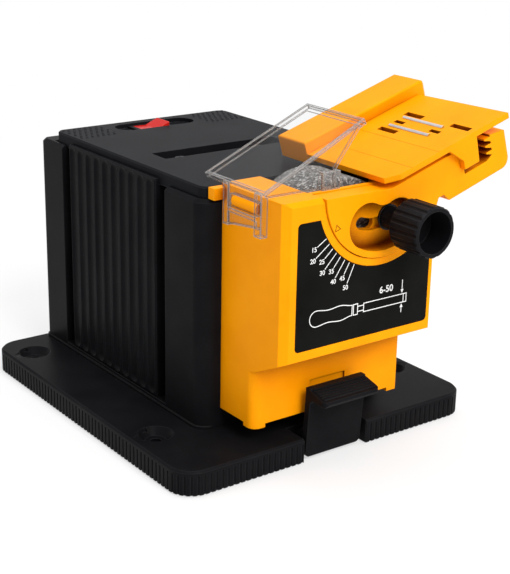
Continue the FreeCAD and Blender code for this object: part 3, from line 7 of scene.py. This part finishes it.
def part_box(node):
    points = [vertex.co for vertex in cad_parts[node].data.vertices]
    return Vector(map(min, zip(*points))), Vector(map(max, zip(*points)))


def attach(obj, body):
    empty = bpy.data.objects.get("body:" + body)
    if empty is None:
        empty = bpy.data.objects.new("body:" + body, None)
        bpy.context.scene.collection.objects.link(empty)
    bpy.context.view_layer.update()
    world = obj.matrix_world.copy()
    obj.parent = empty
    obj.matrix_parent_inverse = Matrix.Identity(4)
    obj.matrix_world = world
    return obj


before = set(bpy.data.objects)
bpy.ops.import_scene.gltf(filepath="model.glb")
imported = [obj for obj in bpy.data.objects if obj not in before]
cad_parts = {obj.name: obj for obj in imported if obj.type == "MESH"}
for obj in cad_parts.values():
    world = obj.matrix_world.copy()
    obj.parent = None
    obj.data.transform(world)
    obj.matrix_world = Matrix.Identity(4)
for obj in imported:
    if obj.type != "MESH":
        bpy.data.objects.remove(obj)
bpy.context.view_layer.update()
print("frame loaded:", len(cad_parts), "nodes")


class Wire:  # one socket of a material's tree; operators add Math nodes
    def __init__(self, tree, socket=None):
        self.tree = tree
        self.socket = socket

    def node(self, kind, settings=None, inputs=None, out=0):
        made = self.tree.nodes.new("ShaderNode" + kind)
        for key, value in (settings or {}).items():
            if key == "stops":
                elements = made.color_ramp.elements
                while len(elements) < len(value):
                    elements.new(0.5)
                for element, (place, colour) in zip(elements, value):
                    element.position = place
                    element.color = colour
            else:
                setattr(made, key, value)
        for key, value in (inputs or {}).items():
            if isinstance(value, Wire):
                self.tree.links.new(value.socket, made.inputs[key])
            else:
                made.inputs[key].default_value = value
        return Wire(self.tree, made.outputs[out])

    def sums(self, operation, first, second):
        return self.node("Math", {"operation": operation}, {0: first, 1: second})

    def __add__(self, other):
        return self.sums("ADD", self, other)

    def __radd__(self, other):
        return self.sums("ADD", other, self)

    def __sub__(self, other):
        return self.sums("SUBTRACT", self, other)

    def __rsub__(self, other):
        return self.sums("SUBTRACT", other, self)

    def __mul__(self, other):
        return self.sums("MULTIPLY", self, other)

    def __rmul__(self, other):
        return self.sums("MULTIPLY", other, self)

    def __or__(self, other):  # the larger of two
        return self.sums("MAXIMUM", self, other)

    def within(self, low, high):  # 0 at low, 1 at high, held between
        return self.node("MapRange", {"clamp": True}, {0: self, 1: low, 2: high, 3: 0.0, 4: 1.0})


def newFinish(name):
    material = bpy.data.materials.new(name)
    material.use_nodes = True
    tree = material.node_tree
    shader = next(n for n in tree.nodes if n.type == "BSDF_PRINCIPLED")
    return material, Wire(tree), shader


def feed(start, shader, socket, value):
    if isinstance(value, Wire):
        start.tree.links.new(value.socket, shader.inputs[socket])
    else:
        shader.inputs[socket].default_value = value


def mixColour(start, factor, first, second):
    return start.node("Mix", {"data_type": "RGBA"}, {0: factor, 6: first, 7: second}, 2)


def grains(start, scale, detail, stretch=None, rough=0.5):  # noise over the piece's own metres
    place = start.node("TexCoord", out="Object")
    if stretch:
        place = start.node("VectorMath", {"operation": "MULTIPLY"}, {0: place, 1: stretch})
    inputs = {"Vector": place, "Scale": scale, "Detail": detail, "Roughness": rough}
    return start.node("TexNoise", {}, inputs)


maskSpec = {"bevelSamples": 6, "edgeSpan": (0.002, 0.12), "hollowSamples": 8}


def softened(start, radius):  # normal of the piece as if its edges were rounded
    return start.node("Bevel", {"samples": maskSpec["bevelSamples"]}, {"Radius": radius})


def edgeMask(start, radius):  # 1 on sharp outer edges, 0 on flats
    flat = start.node("NewGeometry", out="Normal")
    inputs = {0: softened(start, radius), 1: flat}
    dot = start.node("VectorMath", {"operation": "DOT_PRODUCT"}, inputs, "Value")
    return (1.0 - dot).within(*maskSpec["edgeSpan"])


def hollowMask(start, reach, span, inside=False):  # 1 where the piece's own walls close in, 0 in the open
    settings = {"samples": maskSpec["hollowSamples"], "inside": inside, "only_local": True}
    clear = start.node("AmbientOcclusion", settings, {"Distance": reach}, "AO")
    return (1.0 - clear).within(*span)


def bumped(start, height, strength, distance, radius=0.0):
    inputs = {"Height": height, "Strength": strength, "Distance": distance}
    if radius:
        inputs["Normal"] = softened(start, radius)
    return start.node("Bump", {}, inputs)


def moulded(name, spec):  # spark-eroded moulded plastic
    material, start, shader = newFinish(name)
    cloud = grains(start, spec["cloudScale"], spec["detail"]).within(*spec["cloudSpan"])
    grit = grains(start, spec["grainScale"], spec["detail"], rough=spec["grainRough"])
    dust = grains(start, spec["dustScale"], spec["dustDetail"]).within(*spec["dustSpan"])
    edge = edgeMask(start, spec["edge"])
    colour = mixColour(start, cloud, spec["deep"], spec["pale"])
    # painted highlight with some edge wear: sharp edges lightened towards the edge colour
    colour = mixColour(start, edge * spec["edgeShare"], colour, spec["edgeWearAndHighlight"])
    colour = mixColour(start, dust * spec["dustShare"], colour, spec["dust"])
    if "hollow" in spec:  # painted shade: a deeper, redder tone where the piece's own walls close in
        closed = hollowMask(start, spec["hollowReach"], spec["hollowSpan"])
        colour = mixColour(start, closed * spec["hollowShare"], colour, spec["hollow"])
    feed(start, shader, "Base Color", colour)
    rough = spec["rough"] + (grit - 0.5) * spec["roughSpread"] - edge * spec["edgePolish"]
    feed(start, shader, "Roughness", rough)
    feed(start, shader, "Specular IOR Level", spec["gloss"])
    feed(start, shader, "Normal", bumped(start, grit, spec["bump"], spec["bumpDepth"], spec["edge"]))
    return material


# each edge colour below is a painted edge highlight with some edge wear
blackSpec = {
    "deep": (0.005, 0.005, 0.006, 1), "pale": (0.008, 0.008, 0.009, 1), "cloudScale": 45.0,
    "cloudSpan": (0.3, 0.7), "edgeWearAndHighlight": (0.032, 0.032, 0.034, 1), "edge": 0.0006, "edgeShare": 0.6,
    "edgePolish": 0.06, "dust": (0.05, 0.05, 0.05, 1), "dustScale": 900.0, "dustDetail": 1.0,
    "dustSpan": (0.74, 0.86), "dustShare": 0.25, "grainScale": 2600.0, "grainRough": 0.6, "detail": 3.0,
    "rough": 0.38, "roughSpread": 0.22, "gloss": 0.025, "bump": 0.25, "bumpDepth": 0.0002}
greySpec = dict(
    blackSpec, deep=(0.006, 0.0062, 0.0075, 1), pale=(0.009, 0.0093, 0.011, 1),
    edgeWearAndHighlight=(0.07, 0.07, 0.073, 1), rough=0.46, bump=0.45, grainScale=1900.0)
knobSpec = dict(blackSpec, rough=0.34, gloss=0.05, bump=0.3, edge=0.0005)
yellowSpec = dict(
    blackSpec, deep=(0.90, 0.300, 0.0010, 1), pale=(0.95, 0.335, 0.0014, 1), edgeWearAndHighlight=(1.0, 0.43, 0.006, 1),
    dust=(0.70, 0.24, 0.008, 1), dustShare=0.12, edge=0.0008, edgeShare=0.35, rough=0.38,
    # the recess colour is painted shade for pockets, slots and gaps
    roughSpread=0.12, gloss=0.035, bump=0.10, bumpDepth=0.00015, hollow=(0.16, 0.012, 0.0004, 1),
    hollowReach=0.022, hollowSpan=(0.17, 0.46), hollowShare=0.9)
redSpec = dict(
    blackSpec, deep=(0.46, 0.010, 0.007, 1), pale=(0.53, 0.013, 0.009, 1), edgeWearAndHighlight=(0.80, 0.06, 0.04, 1),
    dustShare=0.05, rough=0.25, roughSpread=0.06, bump=0.05, gloss=0.06)
nylonSpec = dict(
    blackSpec, deep=(0.62, 0.61, 0.57, 1), pale=(0.70, 0.69, 0.65, 1), edgeWearAndHighlight=(0.8, 0.8, 0.77, 1),
    rough=0.45)
boardSpec = dict(
    blackSpec, deep=(0.02, 0.12, 0.04, 1), pale=(0.03, 0.16, 0.06, 1), edgeWearAndHighlight=(0.25, 0.24, 0.12, 1),
    rough=0.35)
carbonSpec = dict(blackSpec, deep=(0.02, 0.02, 0.02, 1), pale=(0.04, 0.04, 0.04, 1), rough=0.6)
rubberSpec = dict(
    blackSpec, deep=(0.016, 0.016, 0.016, 1), pale=(0.024, 0.024, 0.024, 1), rough=0.75, bump=0.5)
filmSpec = dict(
    blackSpec, deep=(0.004, 0.004, 0.0035, 1), pale=(0.007, 0.007, 0.006, 1), rough=0.30,
    roughSpread=0.08, bump=0.06, dustShare=0.1, edge=0.0002)
printSpec = dict(
    blackSpec, deep=(0.78, 0.78, 0.77, 1), pale=(0.84, 0.84, 0.83, 1), edgeWearAndHighlight=(0.84, 0.84, 0.83, 1),
    dust=(0.5, 0.5, 0.5, 1), rough=0.5, bump=0.05, edge=0.00005)


def turned(name, spec):  # metal with fine tool marks along one axis
    material, start, shader = newFinish(name)
    lines = grains(start, spec["lineScale"], spec["lineDetail"], spec["stretch"])
    patch = grains(start, spec["patchScale"], spec["patchDetail"]).within(*spec["patchSpan"])
    edge = edgeMask(start, spec["edge"])
    colour = mixColour(start, patch, spec["deep"], spec["pale"])
    # painted highlight: sharp edges lightened towards the edge colour
    colour = mixColour(start, edge * spec["edgeShare"], colour, spec["edgeHighlight"])
    feed(start, shader, "Base Color", colour)
    feed(start, shader, "Metallic", 1.0)
    feed(start, shader, "Roughness", spec["rough"] + (lines - 0.5) * spec["roughSpread"])
    feed(start, shader, "Normal", bumped(start, lines, spec["bump"], spec["bumpDepth"], spec["round"]))
    return material


steelSpec = {
    "deep": (0.46, 0.46, 0.47, 1), "pale": (0.60, 0.60, 0.61, 1), "edgeHighlight": (0.8, 0.8, 0.8, 1),
    "edge": 0.0003, "edgeShare": 0.4, "patchScale": 60.0, "patchDetail": 4.0, "patchSpan": (0.35, 0.65),
    "lineScale": 900.0, "lineDetail": 2.0, "stretch": (1.0, 0.15, 1.0), "rough": 0.28, "roughSpread": 0.2,
    "bump": 0.12, "bumpDepth": 0.0001, "round": 0.0002}
zincSpec = dict(
    steelSpec, deep=(0.40, 0.41, 0.43, 1), pale=(0.52, 0.53, 0.55, 1), rough=0.38, lineScale=300.0)
darkSpec = dict(
    steelSpec, deep=(0.02, 0.02, 0.022, 1), pale=(0.04, 0.04, 0.043, 1), edgeHighlight=(0.3, 0.3, 0.3, 1),
    rough=0.34)
brassSpec = dict(
    steelSpec, deep=(0.55, 0.38, 0.15, 1), pale=(0.68, 0.49, 0.21, 1), edgeHighlight=(0.85, 0.68, 0.35, 1))
copperSpec = dict(
    steelSpec, deep=(0.50, 0.20, 0.08, 1), pale=(0.66, 0.29, 0.13, 1), edgeHighlight=(0.85, 0.45, 0.25, 1),
    rough=0.34, lineScale=1600.0, stretch=(1.0, 0.4, 1.0))
ferriteSpec = dict(
    steelSpec, deep=(0.05, 0.05, 0.055, 1), pale=(0.09, 0.09, 0.10, 1), edgeHighlight=(0.2, 0.2, 0.2, 1),
    rough=0.55)


def gritStone(name, spec):  # bonded abrasive: pale and dark grains in a grey bond
    material, start, shader = newFinish(name)
    place = start.node("TexCoord", out="Object")
    cells = {"Vector": place, "Scale": spec["grainScale"]}
    pits = start.node("TexVoronoi", {"feature": "F1"}, cells, "Distance")
    cell = start.node("TexVoronoi", {"feature": "F1"}, cells, "Color")
    shade = start.node("SeparateColor", {}, {0: cell})
    speck = start.node("ValToRGB", {"stops": spec["stops"]}, {0: shade})
    patch = grains(start, spec["patchScale"], spec["patchDetail"]).within(*spec["patchSpan"])
    feed(start, shader, "Base Color", mixColour(start, patch * spec["bondShare"], speck, spec["bond"]))
    feed(start, shader, "Roughness", spec["rough"] + (shade - 0.5) * spec["roughSpread"])
    feed(start, shader, "Normal", bumped(start, pits, spec["bump"], spec["bumpDepth"]))
    return material


stoneSpec = {
    "grainScale": 1000.0, "bond": (0.13, 0.13, 0.13, 1), "bondShare": 0.4, "patchScale": 90.0,
    "patchDetail": 3.0, "patchSpan": (0.35, 0.7), "rough": 0.78, "roughSpread": 0.25, "bump": 0.8,
    "bumpDepth": 0.0004,
    "stops": [(0.0, (0.02, 0.02, 0.02, 1)), (0.4, (0.09, 0.09, 0.088, 1)),
              (0.75, (0.22, 0.22, 0.21, 1)), (1.0, (0.60, 0.59, 0.57, 1))]}


def clearSheet(name, spec):  # clear moulding: see-through faces, painted highlights on the narrow rims and painted glints along dark painted edge lines, scuffs
    material, start, shader = newFinish(name)
    band = hollowMask(start, spec["bandReach"], spec["bandSpan"], True)
    line = edgeMask(start, spec["edge"]).within(0.0, spec["edgeFull"])
    edge = line * spec["edgeShare"] | band * spec["bandShare"]
    # painted highlight: narrow faces along the sheet's edges turn to the pale glint colour
    body = mixColour(start, band, spec["face"], spec["glint"])
    # painted edge shade: dark lines along the edges, with a painted glint along their core
    rim = mixColour(start, edgeMask(start, spec["core"]), spec["rim"], spec["glint"])
    # haze, also used as painted reflection: patches where more of the grey face colour shows
    hazeAndReflection = grains(start, spec["hazeScale"], spec["hazeDetail"]).within(*spec["hazeSpan"])
    scuff = grains(start, spec["scuffScale"], spec["scuffDetail"], spec["stretch"])
    scuff = scuff.within(*spec["scuffSpan"])
    feed(start, shader, "Base Color", mixColour(start, line, body, rim))
    feed(start, shader, "Roughness", spec["rough"] + scuff * spec["scuffRough"])
    feed(start, shader, "Alpha", spec["thin"] + hazeAndReflection * spec["hazeAndReflection"] + scuff * spec["scuff"] + edge)
    feed(start, shader, "Normal", bumped(start, hazeAndReflection, spec["bump"], spec["bumpDepth"]))
    return material


guardSpec = {
    "face": (0.18, 0.18, 0.18, 1), "thin": 0.045, "rim": (0.035, 0.03, 0.028, 1), "edge": 0.0013,
    "edgeFull": 0.4, "edgeShare": 0.9, "glint": (0.80, 0.79, 0.77, 1), "core": 0.00022,
    "bandReach": 0.0018, "bandSpan": (0.12, 0.6), "bandShare": 0.6, "hazeAndReflection": 0.03, "hazeScale": 25.0,
    "hazeDetail": 2.0, "hazeSpan": (0.45, 0.8), "scuff": 0.015, "scuffScale": 420.0, "scuffDetail": 4.0,
    "stretch": (1.0, 0.25, 1.0), "scuffSpan": (0.6, 0.75), "scuffRough": 0.1, "rough": 0.08, "bump": 0.05,
    "bumpDepth": 0.0004}

finishes = {
    "black": moulded("blackMoulding", blackSpec),
    "grey": moulded("coverMoulding", greySpec),
    "knob": moulded("knobMoulding", knobSpec),
    "yellow": moulded("yellowMoulding", yellowSpec),
    "red": moulded("redRocker", redSpec),
    "nylon": moulded("naturalNylon", nylonSpec),
    "board": moulded("circuitBoard", boardSpec),
    "carbon": moulded("pressedCarbon", carbonSpec),
    "rubber": moulded("footRubber", rubberSpec),
    "film": moulded("labelFilm", filmSpec),
    "print": moulded("whitePrint", printSpec),
    "steel": turned("turnedSteel", steelSpec),
    "zinc": turned("platedSteel", zincSpec),
    "dark": turned("blackedSteel", darkSpec),
    "brass": turned("turnedBrass", brassSpec),
    "copper": turned("copperWire", copperSpec),
    "ferrite": turned("motorFerrite", ferriteSpec),
    "stone": gritStone("grindingStone", stoneSpec),
    "clear": clearSheet("clearGuard", guardSpec),
}
print("finishes made:", len(finishes))

nodeFinish = {
    "black": ["base_plate", "housing_shell", "left_ribbed_panel", "right_ribbed_panel", "switch_bezel",
              "switch_body", "cord_gland", "gland_nut", "motor_cradle", "rectifier_parts", "latch_lever"],
    "grey": ["top_cover"],
    "knob": ["clamp_knob"],
    "yellow": ["head_shell", "tilt_frame", "rest_plate"],
    "red": ["switch_rocker"],
    "nylon": ["motor_end_cap", "cooling_fan"],
    "board": ["rectifier_board"],
    "carbon": ["carbon_brushes"],
    "rubber": ["rubber_feet"],
    "film": ["scale_label"],
    "dark": ["top_cover_screws", "clamp_washer", "clamp_stud"],
    "steel": ["base_screws", "cradle_screws", "strap_screws", "armature_core", "motor_shaft",
              "front_bearing", "rear_bearing", "board_screws", "inner_flange", "outer_flange", "wheel_nut",
              "latch_pin", "latch_spring", "rest_rods"],
    "zinc": ["motor_straps", "motor_can"],
    "brass": ["switch_terminals", "brush_holders", "knob_insert"],
    "copper": ["armature_windings", "commutator"],
    "ferrite": ["motor_magnets"],
    "stone": ["grinding_wheel"],
    "clear": ["spark_guard"],
}
for finish, names in nodeFinish.items():
    for name in names:
        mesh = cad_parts[name].data
        mesh.materials.clear()
        mesh.materials.append(finishes[finish])
print("finishes given to nodes:", sum(len(v) for v in nodeFinish.values()))


def meshPiece(name, build, body, finish):
    bm = bmesh.new()
    build(bm)
    bmesh.ops.recalc_face_normals(bm, faces=bm.faces[:])
    mesh = bpy.data.meshes.new(name)
    bm.to_mesh(mesh)
    bm.free()
    piece = bpy.data.objects.new(name, mesh)
    bpy.context.scene.collection.objects.link(piece)
    mesh.materials.append(finishes[finish])
    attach(piece, body)


def slab(bm, outline, back, front):  # closed plate from an outline of x and z
    low = [bm.verts.new((x, back, z)) for x, z in outline]
    high = [bm.verts.new((x, front, z)) for x, z in outline]
    bm.faces.new(low)
    bm.faces.new(high[::-1])
    for i in range(len(outline)):
        k = (i + 1) % len(outline)
        bm.faces.new((low[i], low[k], high[k], high[i]))


def stroke(bm, points, width, back, front, closed=False):  # line of a given width along points of x and z
    count = len(points)
    spots = [Vector(p) for p in points]
    left, right = [], []
    for i, spot in enumerate(spots):
        into = spot - spots[i - 1] if closed or i else spots[1] - spot
        away = spots[(i + 1) % count] - spot if closed or i < count - 1 else into
        sideIn = Vector((-into.y, into.x)).normalized()
        sideOut = Vector((-away.y, away.x)).normalized()
        mitre = (sideIn + sideOut).normalized()
        reach = mitre * (width / 2 / mitre.dot(sideIn))
        left.append(spot + reach)
        right.append(spot - reach)
    for i in range(count if closed else count - 1):
        k = (i + 1) % count
        slab(bm, [left[i], left[k], right[k], right[i]], back, front)


# Scale and pictogram printed on the label
scalePrint = {
    "dial": (0.0141, 0.1644), "first": 15, "last": 50, "step": 5, "fromDegrees": 211.5,
    "stepDegrees": 4.86, "inner": 0.0464, "shortEnd": 0.0535, "longEnd": 0.0575, "longEach": 10,
    "lineWidth": 0.0005, "thick": 0.00006, "sink": 0.00001, "numberRadius": 0.0600, "shortDrop": 0.004,
    "numberSize": 0.0038, "fatten": 0.015}
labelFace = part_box("scale_label")[0].y
printBack = labelFace + scalePrint["sink"]
printFront = labelFace - scalePrint["thick"]


def dialPoint(radius, degrees):
    turn = math.radians(degrees)
    x, z = scalePrint["dial"]
    return x + radius * math.cos(turn), z + radius * math.sin(turn)


def scaleMarks():  # each number, the angle of its tick, and whether that tick is a long one
    values = range(scalePrint["first"], scalePrint["last"] + 1, scalePrint["step"])
    for i, value in enumerate(values):
        degrees = scalePrint["fromDegrees"] + i * scalePrint["stepDegrees"]
        yield value, degrees, value % scalePrint["longEach"] == 0


def buildTicks(bm):
    for value, degrees, isLong in scaleMarks():
        end = scalePrint["longEnd"] if isLong else scalePrint["shortEnd"]
        line = [dialPoint(scalePrint["inner"], degrees), dialPoint(end, degrees)]
        stroke(bm, line, scalePrint["lineWidth"], printBack, printFront)


meshPiece("scaleTicks", buildTicks, "chassis", "print")


def printedText(name, text, x, z, size):
    curve = bpy.data.curves.new(name + "Curve", "FONT")
    curve.body = text
    curve.size = size
    curve.align_x = "CENTER"
    curve.align_y = "CENTER"
    curve.extrude = scalePrint["thick"] / 2
    curve.offset = size * scalePrint["fatten"]
    holder = bpy.data.objects.new(name + "Curve", curve)
    bpy.context.scene.collection.objects.link(holder)
    bpy.context.view_layer.update()
    mesh = bpy.data.meshes.new_from_object(holder.evaluated_get(bpy.context.evaluated_depsgraph_get()))
    bpy.data.objects.remove(holder)
    bpy.data.curves.remove(curve)
    upright = Matrix.Rotation(math.pi / 2, 4, "X")
    mesh.transform(Matrix.Translation((x, labelFace - scalePrint["thick"] / 2, z)) @ upright)
    piece = bpy.data.objects.new(name, mesh)
    bpy.context.scene.collection.objects.link(piece)
    mesh.materials.clear()
    mesh.materials.append(finishes["print"])
    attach(piece, "chassis")


for value, degrees, isLong in scaleMarks():
    radius = scalePrint["numberRadius"] if isLong else scalePrint["numberRadius"] - scalePrint["shortDrop"]
    printedText("scaleNumber%d" % value, str(value), *dialPoint(radius, degrees), scalePrint["numberSize"])
print("scale printed")

chiselPrint = {
    "axis": 0.0955, "butt": -0.0306, "handleEnd": -0.0052,
    "handleHalves": (0.0046, 0.0036, 0.0044, 0.0030), "ferrule": (-0.0042, -0.0012),
    "ferruleHalf": 0.0031, "neckHalf": 0.0015, "blade": (0.0032, 0.0350), "bladeHalf": 0.0025,
    "bevelAt": 0.0328, "line": 0.0005, "curveSteps": 8, "arrowAt": 0.0316, "arrowEnds": (0.1066, 0.0870),
    "arrowHead": 0.0011, "arrowGap": 0.0007, "rangeText": "6-50", "rangeAt": (0.0195, 0.1032),
    "rangeSize": 0.0056}


def handleSide():  # upper side of the turned handle: rounded butt, waist, swell, fall to the ferrule
    spec = chiselPrint
    steps, halves = spec["curveSteps"], spec["handleHalves"]
    for i in range(steps):
        turn = math.pi - math.pi / 2 * i / steps
        yield spec["butt"] + halves[0] * math.cos(turn), halves[0] * math.sin(turn)
    run = (spec["handleEnd"] - spec["butt"]) / (len(halves) - 1)
    for k in range(len(halves) - 1):
        for i in range(steps):
            blend = 0.5 - 0.5 * math.cos(math.pi * i / steps)
            yield spec["butt"] + run * (k + i / steps), halves[k] + (halves[k + 1] - halves[k]) * blend
    yield spec["handleEnd"], halves[-1]


def buildChisel(bm):
    spec = chiselPrint
    axis, line = spec["axis"], spec["line"]
    side = list(handleSide())
    outline = [(x, axis + half) for x, half in side] + [(x, axis - half) for x, half in side[:0:-1]]
    stroke(bm, outline, line, printBack, printFront, True)
    for (x0, x1), half in ((spec["ferrule"], spec["ferruleHalf"]), (spec["blade"], spec["bladeHalf"])):
        corners = [(x0, axis - half), (x1, axis - half), (x1, axis + half), (x0, axis + half)]
        stroke(bm, corners, line, printBack, printFront, True)
    neck = (spec["ferrule"][1] + line / 2, spec["blade"][0] - line / 2)
    bevel = spec["bladeHalf"] - line / 2
    bevelEnds = [(spec["bevelAt"], axis - bevel), (spec["bevelAt"], axis + bevel)]
    stroke(bm, bevelEnds, line, printBack, printFront)
    for end, way in zip(spec["arrowEnds"], (1, -1)):  # sides of the neck, and arrows that measure the blade
        level = axis + way * spec["neckHalf"]
        stroke(bm, [(neck[0], level), (neck[1], level)], line, printBack, printFront)
        x, head = spec["arrowAt"], spec["arrowHead"]
        point = axis + way * (spec["bladeHalf"] + spec["arrowGap"])
        root = point + way * 2 * head
        stroke(bm, [(x, end), (x, root)], line, printBack, printFront)
        slab(bm, [(x, point), (x + way * head, root), (x - way * head, root)], printBack, printFront)


meshPiece("chiselOutline", buildChisel, "chassis", "print")
printedText("widthRange", chiselPrint["rangeText"], *chiselPrint["rangeAt"], chiselPrint["rangeSize"])
print("pictogram printed")

# Camera at the photograph's place
shot = {
    "place": (-0.45347, -0.65935, 0.34339), "yaw": 0.6379, "pitch": 0.3332, "roll": 0.0195,
    "focal": 1308.52, "longSide": 574.0, "sensor": 36.0, "clip": (0.01, 50.0)}
yaw, pitch, roll = shot["yaw"], shot["pitch"], shot["roll"]
ahead = Vector((math.sin(yaw) * math.cos(pitch), math.cos(yaw) * math.cos(pitch), -math.sin(pitch)))
level = Vector((math.cos(yaw), -math.sin(yaw), 0.0))
upright = level.cross(ahead)
across = level * math.cos(roll) + upright * math.sin(roll)
above = upright * math.cos(roll) - level * math.sin(roll)
lens = bpy.data.cameras.new("photoCamera")
lens.sensor_width = shot["sensor"]
lens.lens = shot["focal"] / shot["longSide"] * shot["sensor"]
lens.clip_start, lens.clip_end = shot["clip"]
camera = bpy.data.objects.new("photoCamera", lens)
bpy.context.scene.collection.objects.link(camera)
camera.matrix_world = Matrix((
    (across.x, above.x, -ahead.x, shot["place"][0]),
    (across.y, above.y, -ahead.y, shot["place"][1]),
    (across.z, above.z, -ahead.z, shot["place"][2]),
    (0, 0, 0, 1)))
bpy.context.scene.camera = camera

# Floor, world and lamps
studio = {
    "floor": (0.86, 0.86, 0.86, 1), "floorSize": 6.0, "floorRough": 0.9, "floorGloss": 0.1,
    "white": (1, 1, 1, 1), "seen": 1.0, "fill": 0.42, "nearShare": 0.55, "whiteSpan": (0.22, 0.75),
    "aim": (0.0, -0.03, 0.09),
    "lamps": [("keyLamp", (-0.15, -1.75, 1.55), 1.2, 38.0), ("topLamp", (0.1, 0.3, 2.0), 1.6, 21.0),
              ("sideLamp", (1.6, -0.7, 0.9), 1.0, 10.0), ("leftLamp", (-1.8, 0.2, 0.9), 0.9, 3.0)]}


def shownRays(start):  # rays that see the white ground: straight, mirrored and through glass
    return (start.node("LightPath", out="Is Camera Ray") | start.node("LightPath", out="Is Glossy Ray")
            | start.node("LightPath", out="Is Transmission Ray"))


bm = bmesh.new()
half = studio["floorSize"] / 2
corners = ((-half, -half), (half, -half), (half, half), (-half, half))
bm.faces.new([bm.verts.new((x, y, 0.0)) for x, y in corners])
floorMesh = bpy.data.meshes.new("floor")
bm.to_mesh(floorMesh)
bm.free()
floor = bpy.data.objects.new("floor", floorMesh)
bpy.context.scene.collection.objects.link(floor)
floorFinish, start, shader = newFinish("paleFloor")
feed(start, shader, "Base Color", studio["floor"])
feed(start, shader, "Roughness", studio["floorRough"])
feed(start, shader, "Specular IOR Level", studio["floorGloss"])
place = start.node("TexCoord", out="Object")
away = start.node("VectorMath", {"operation": "LENGTH"}, {0: place}, "Value")
white = studio["nearShare"] + away.within(*studio["whiteSpan"]) * (1.0 - studio["nearShare"])
plain = Wire(start.tree, shader.outputs[0])
glow = start.node("Emission", {}, {"Color": studio["white"], "Strength": studio["seen"]})
mixed = start.node("MixShader", {}, {0: shownRays(start) * white, 1: plain, 2: glow})
floorOut = next(n for n in start.tree.nodes if n.type == "OUTPUT_MATERIAL")
start.tree.links.new(mixed.socket, floorOut.inputs[0])
floorMesh.materials.append(floorFinish)

world = bpy.data.worlds.new("studioWorld")
bpy.context.scene.world = world
world.use_nodes = True
sky = Wire(world.node_tree)
for old in list(world.node_tree.nodes):
    world.node_tree.nodes.remove(old)
strength = shownRays(sky) * (studio["seen"] - studio["fill"]) + studio["fill"]
back = sky.node("Background", {}, {"Color": studio["white"], "Strength": strength})
worldOut = world.node_tree.nodes.new("ShaderNodeOutputWorld")
world.node_tree.links.new(back.socket, worldOut.inputs[0])

for name, place, size, power in studio["lamps"]:
    light = bpy.data.lights.new(name, "AREA")
    light.shape = "DISK"
    light.size = size
    light.energy = power
    lamp = bpy.data.objects.new(name, light)
    bpy.context.scene.collection.objects.link(lamp)
    lamp.location = place
    lamp.rotation_mode = "QUATERNION"
    lamp.rotation_quaternion = (Vector(studio["aim"]) - Vector(place)).to_track_quat("-Z", "Y")
bpy.context.scene.view_settings.view_transform = "Standard"
print("studio set")
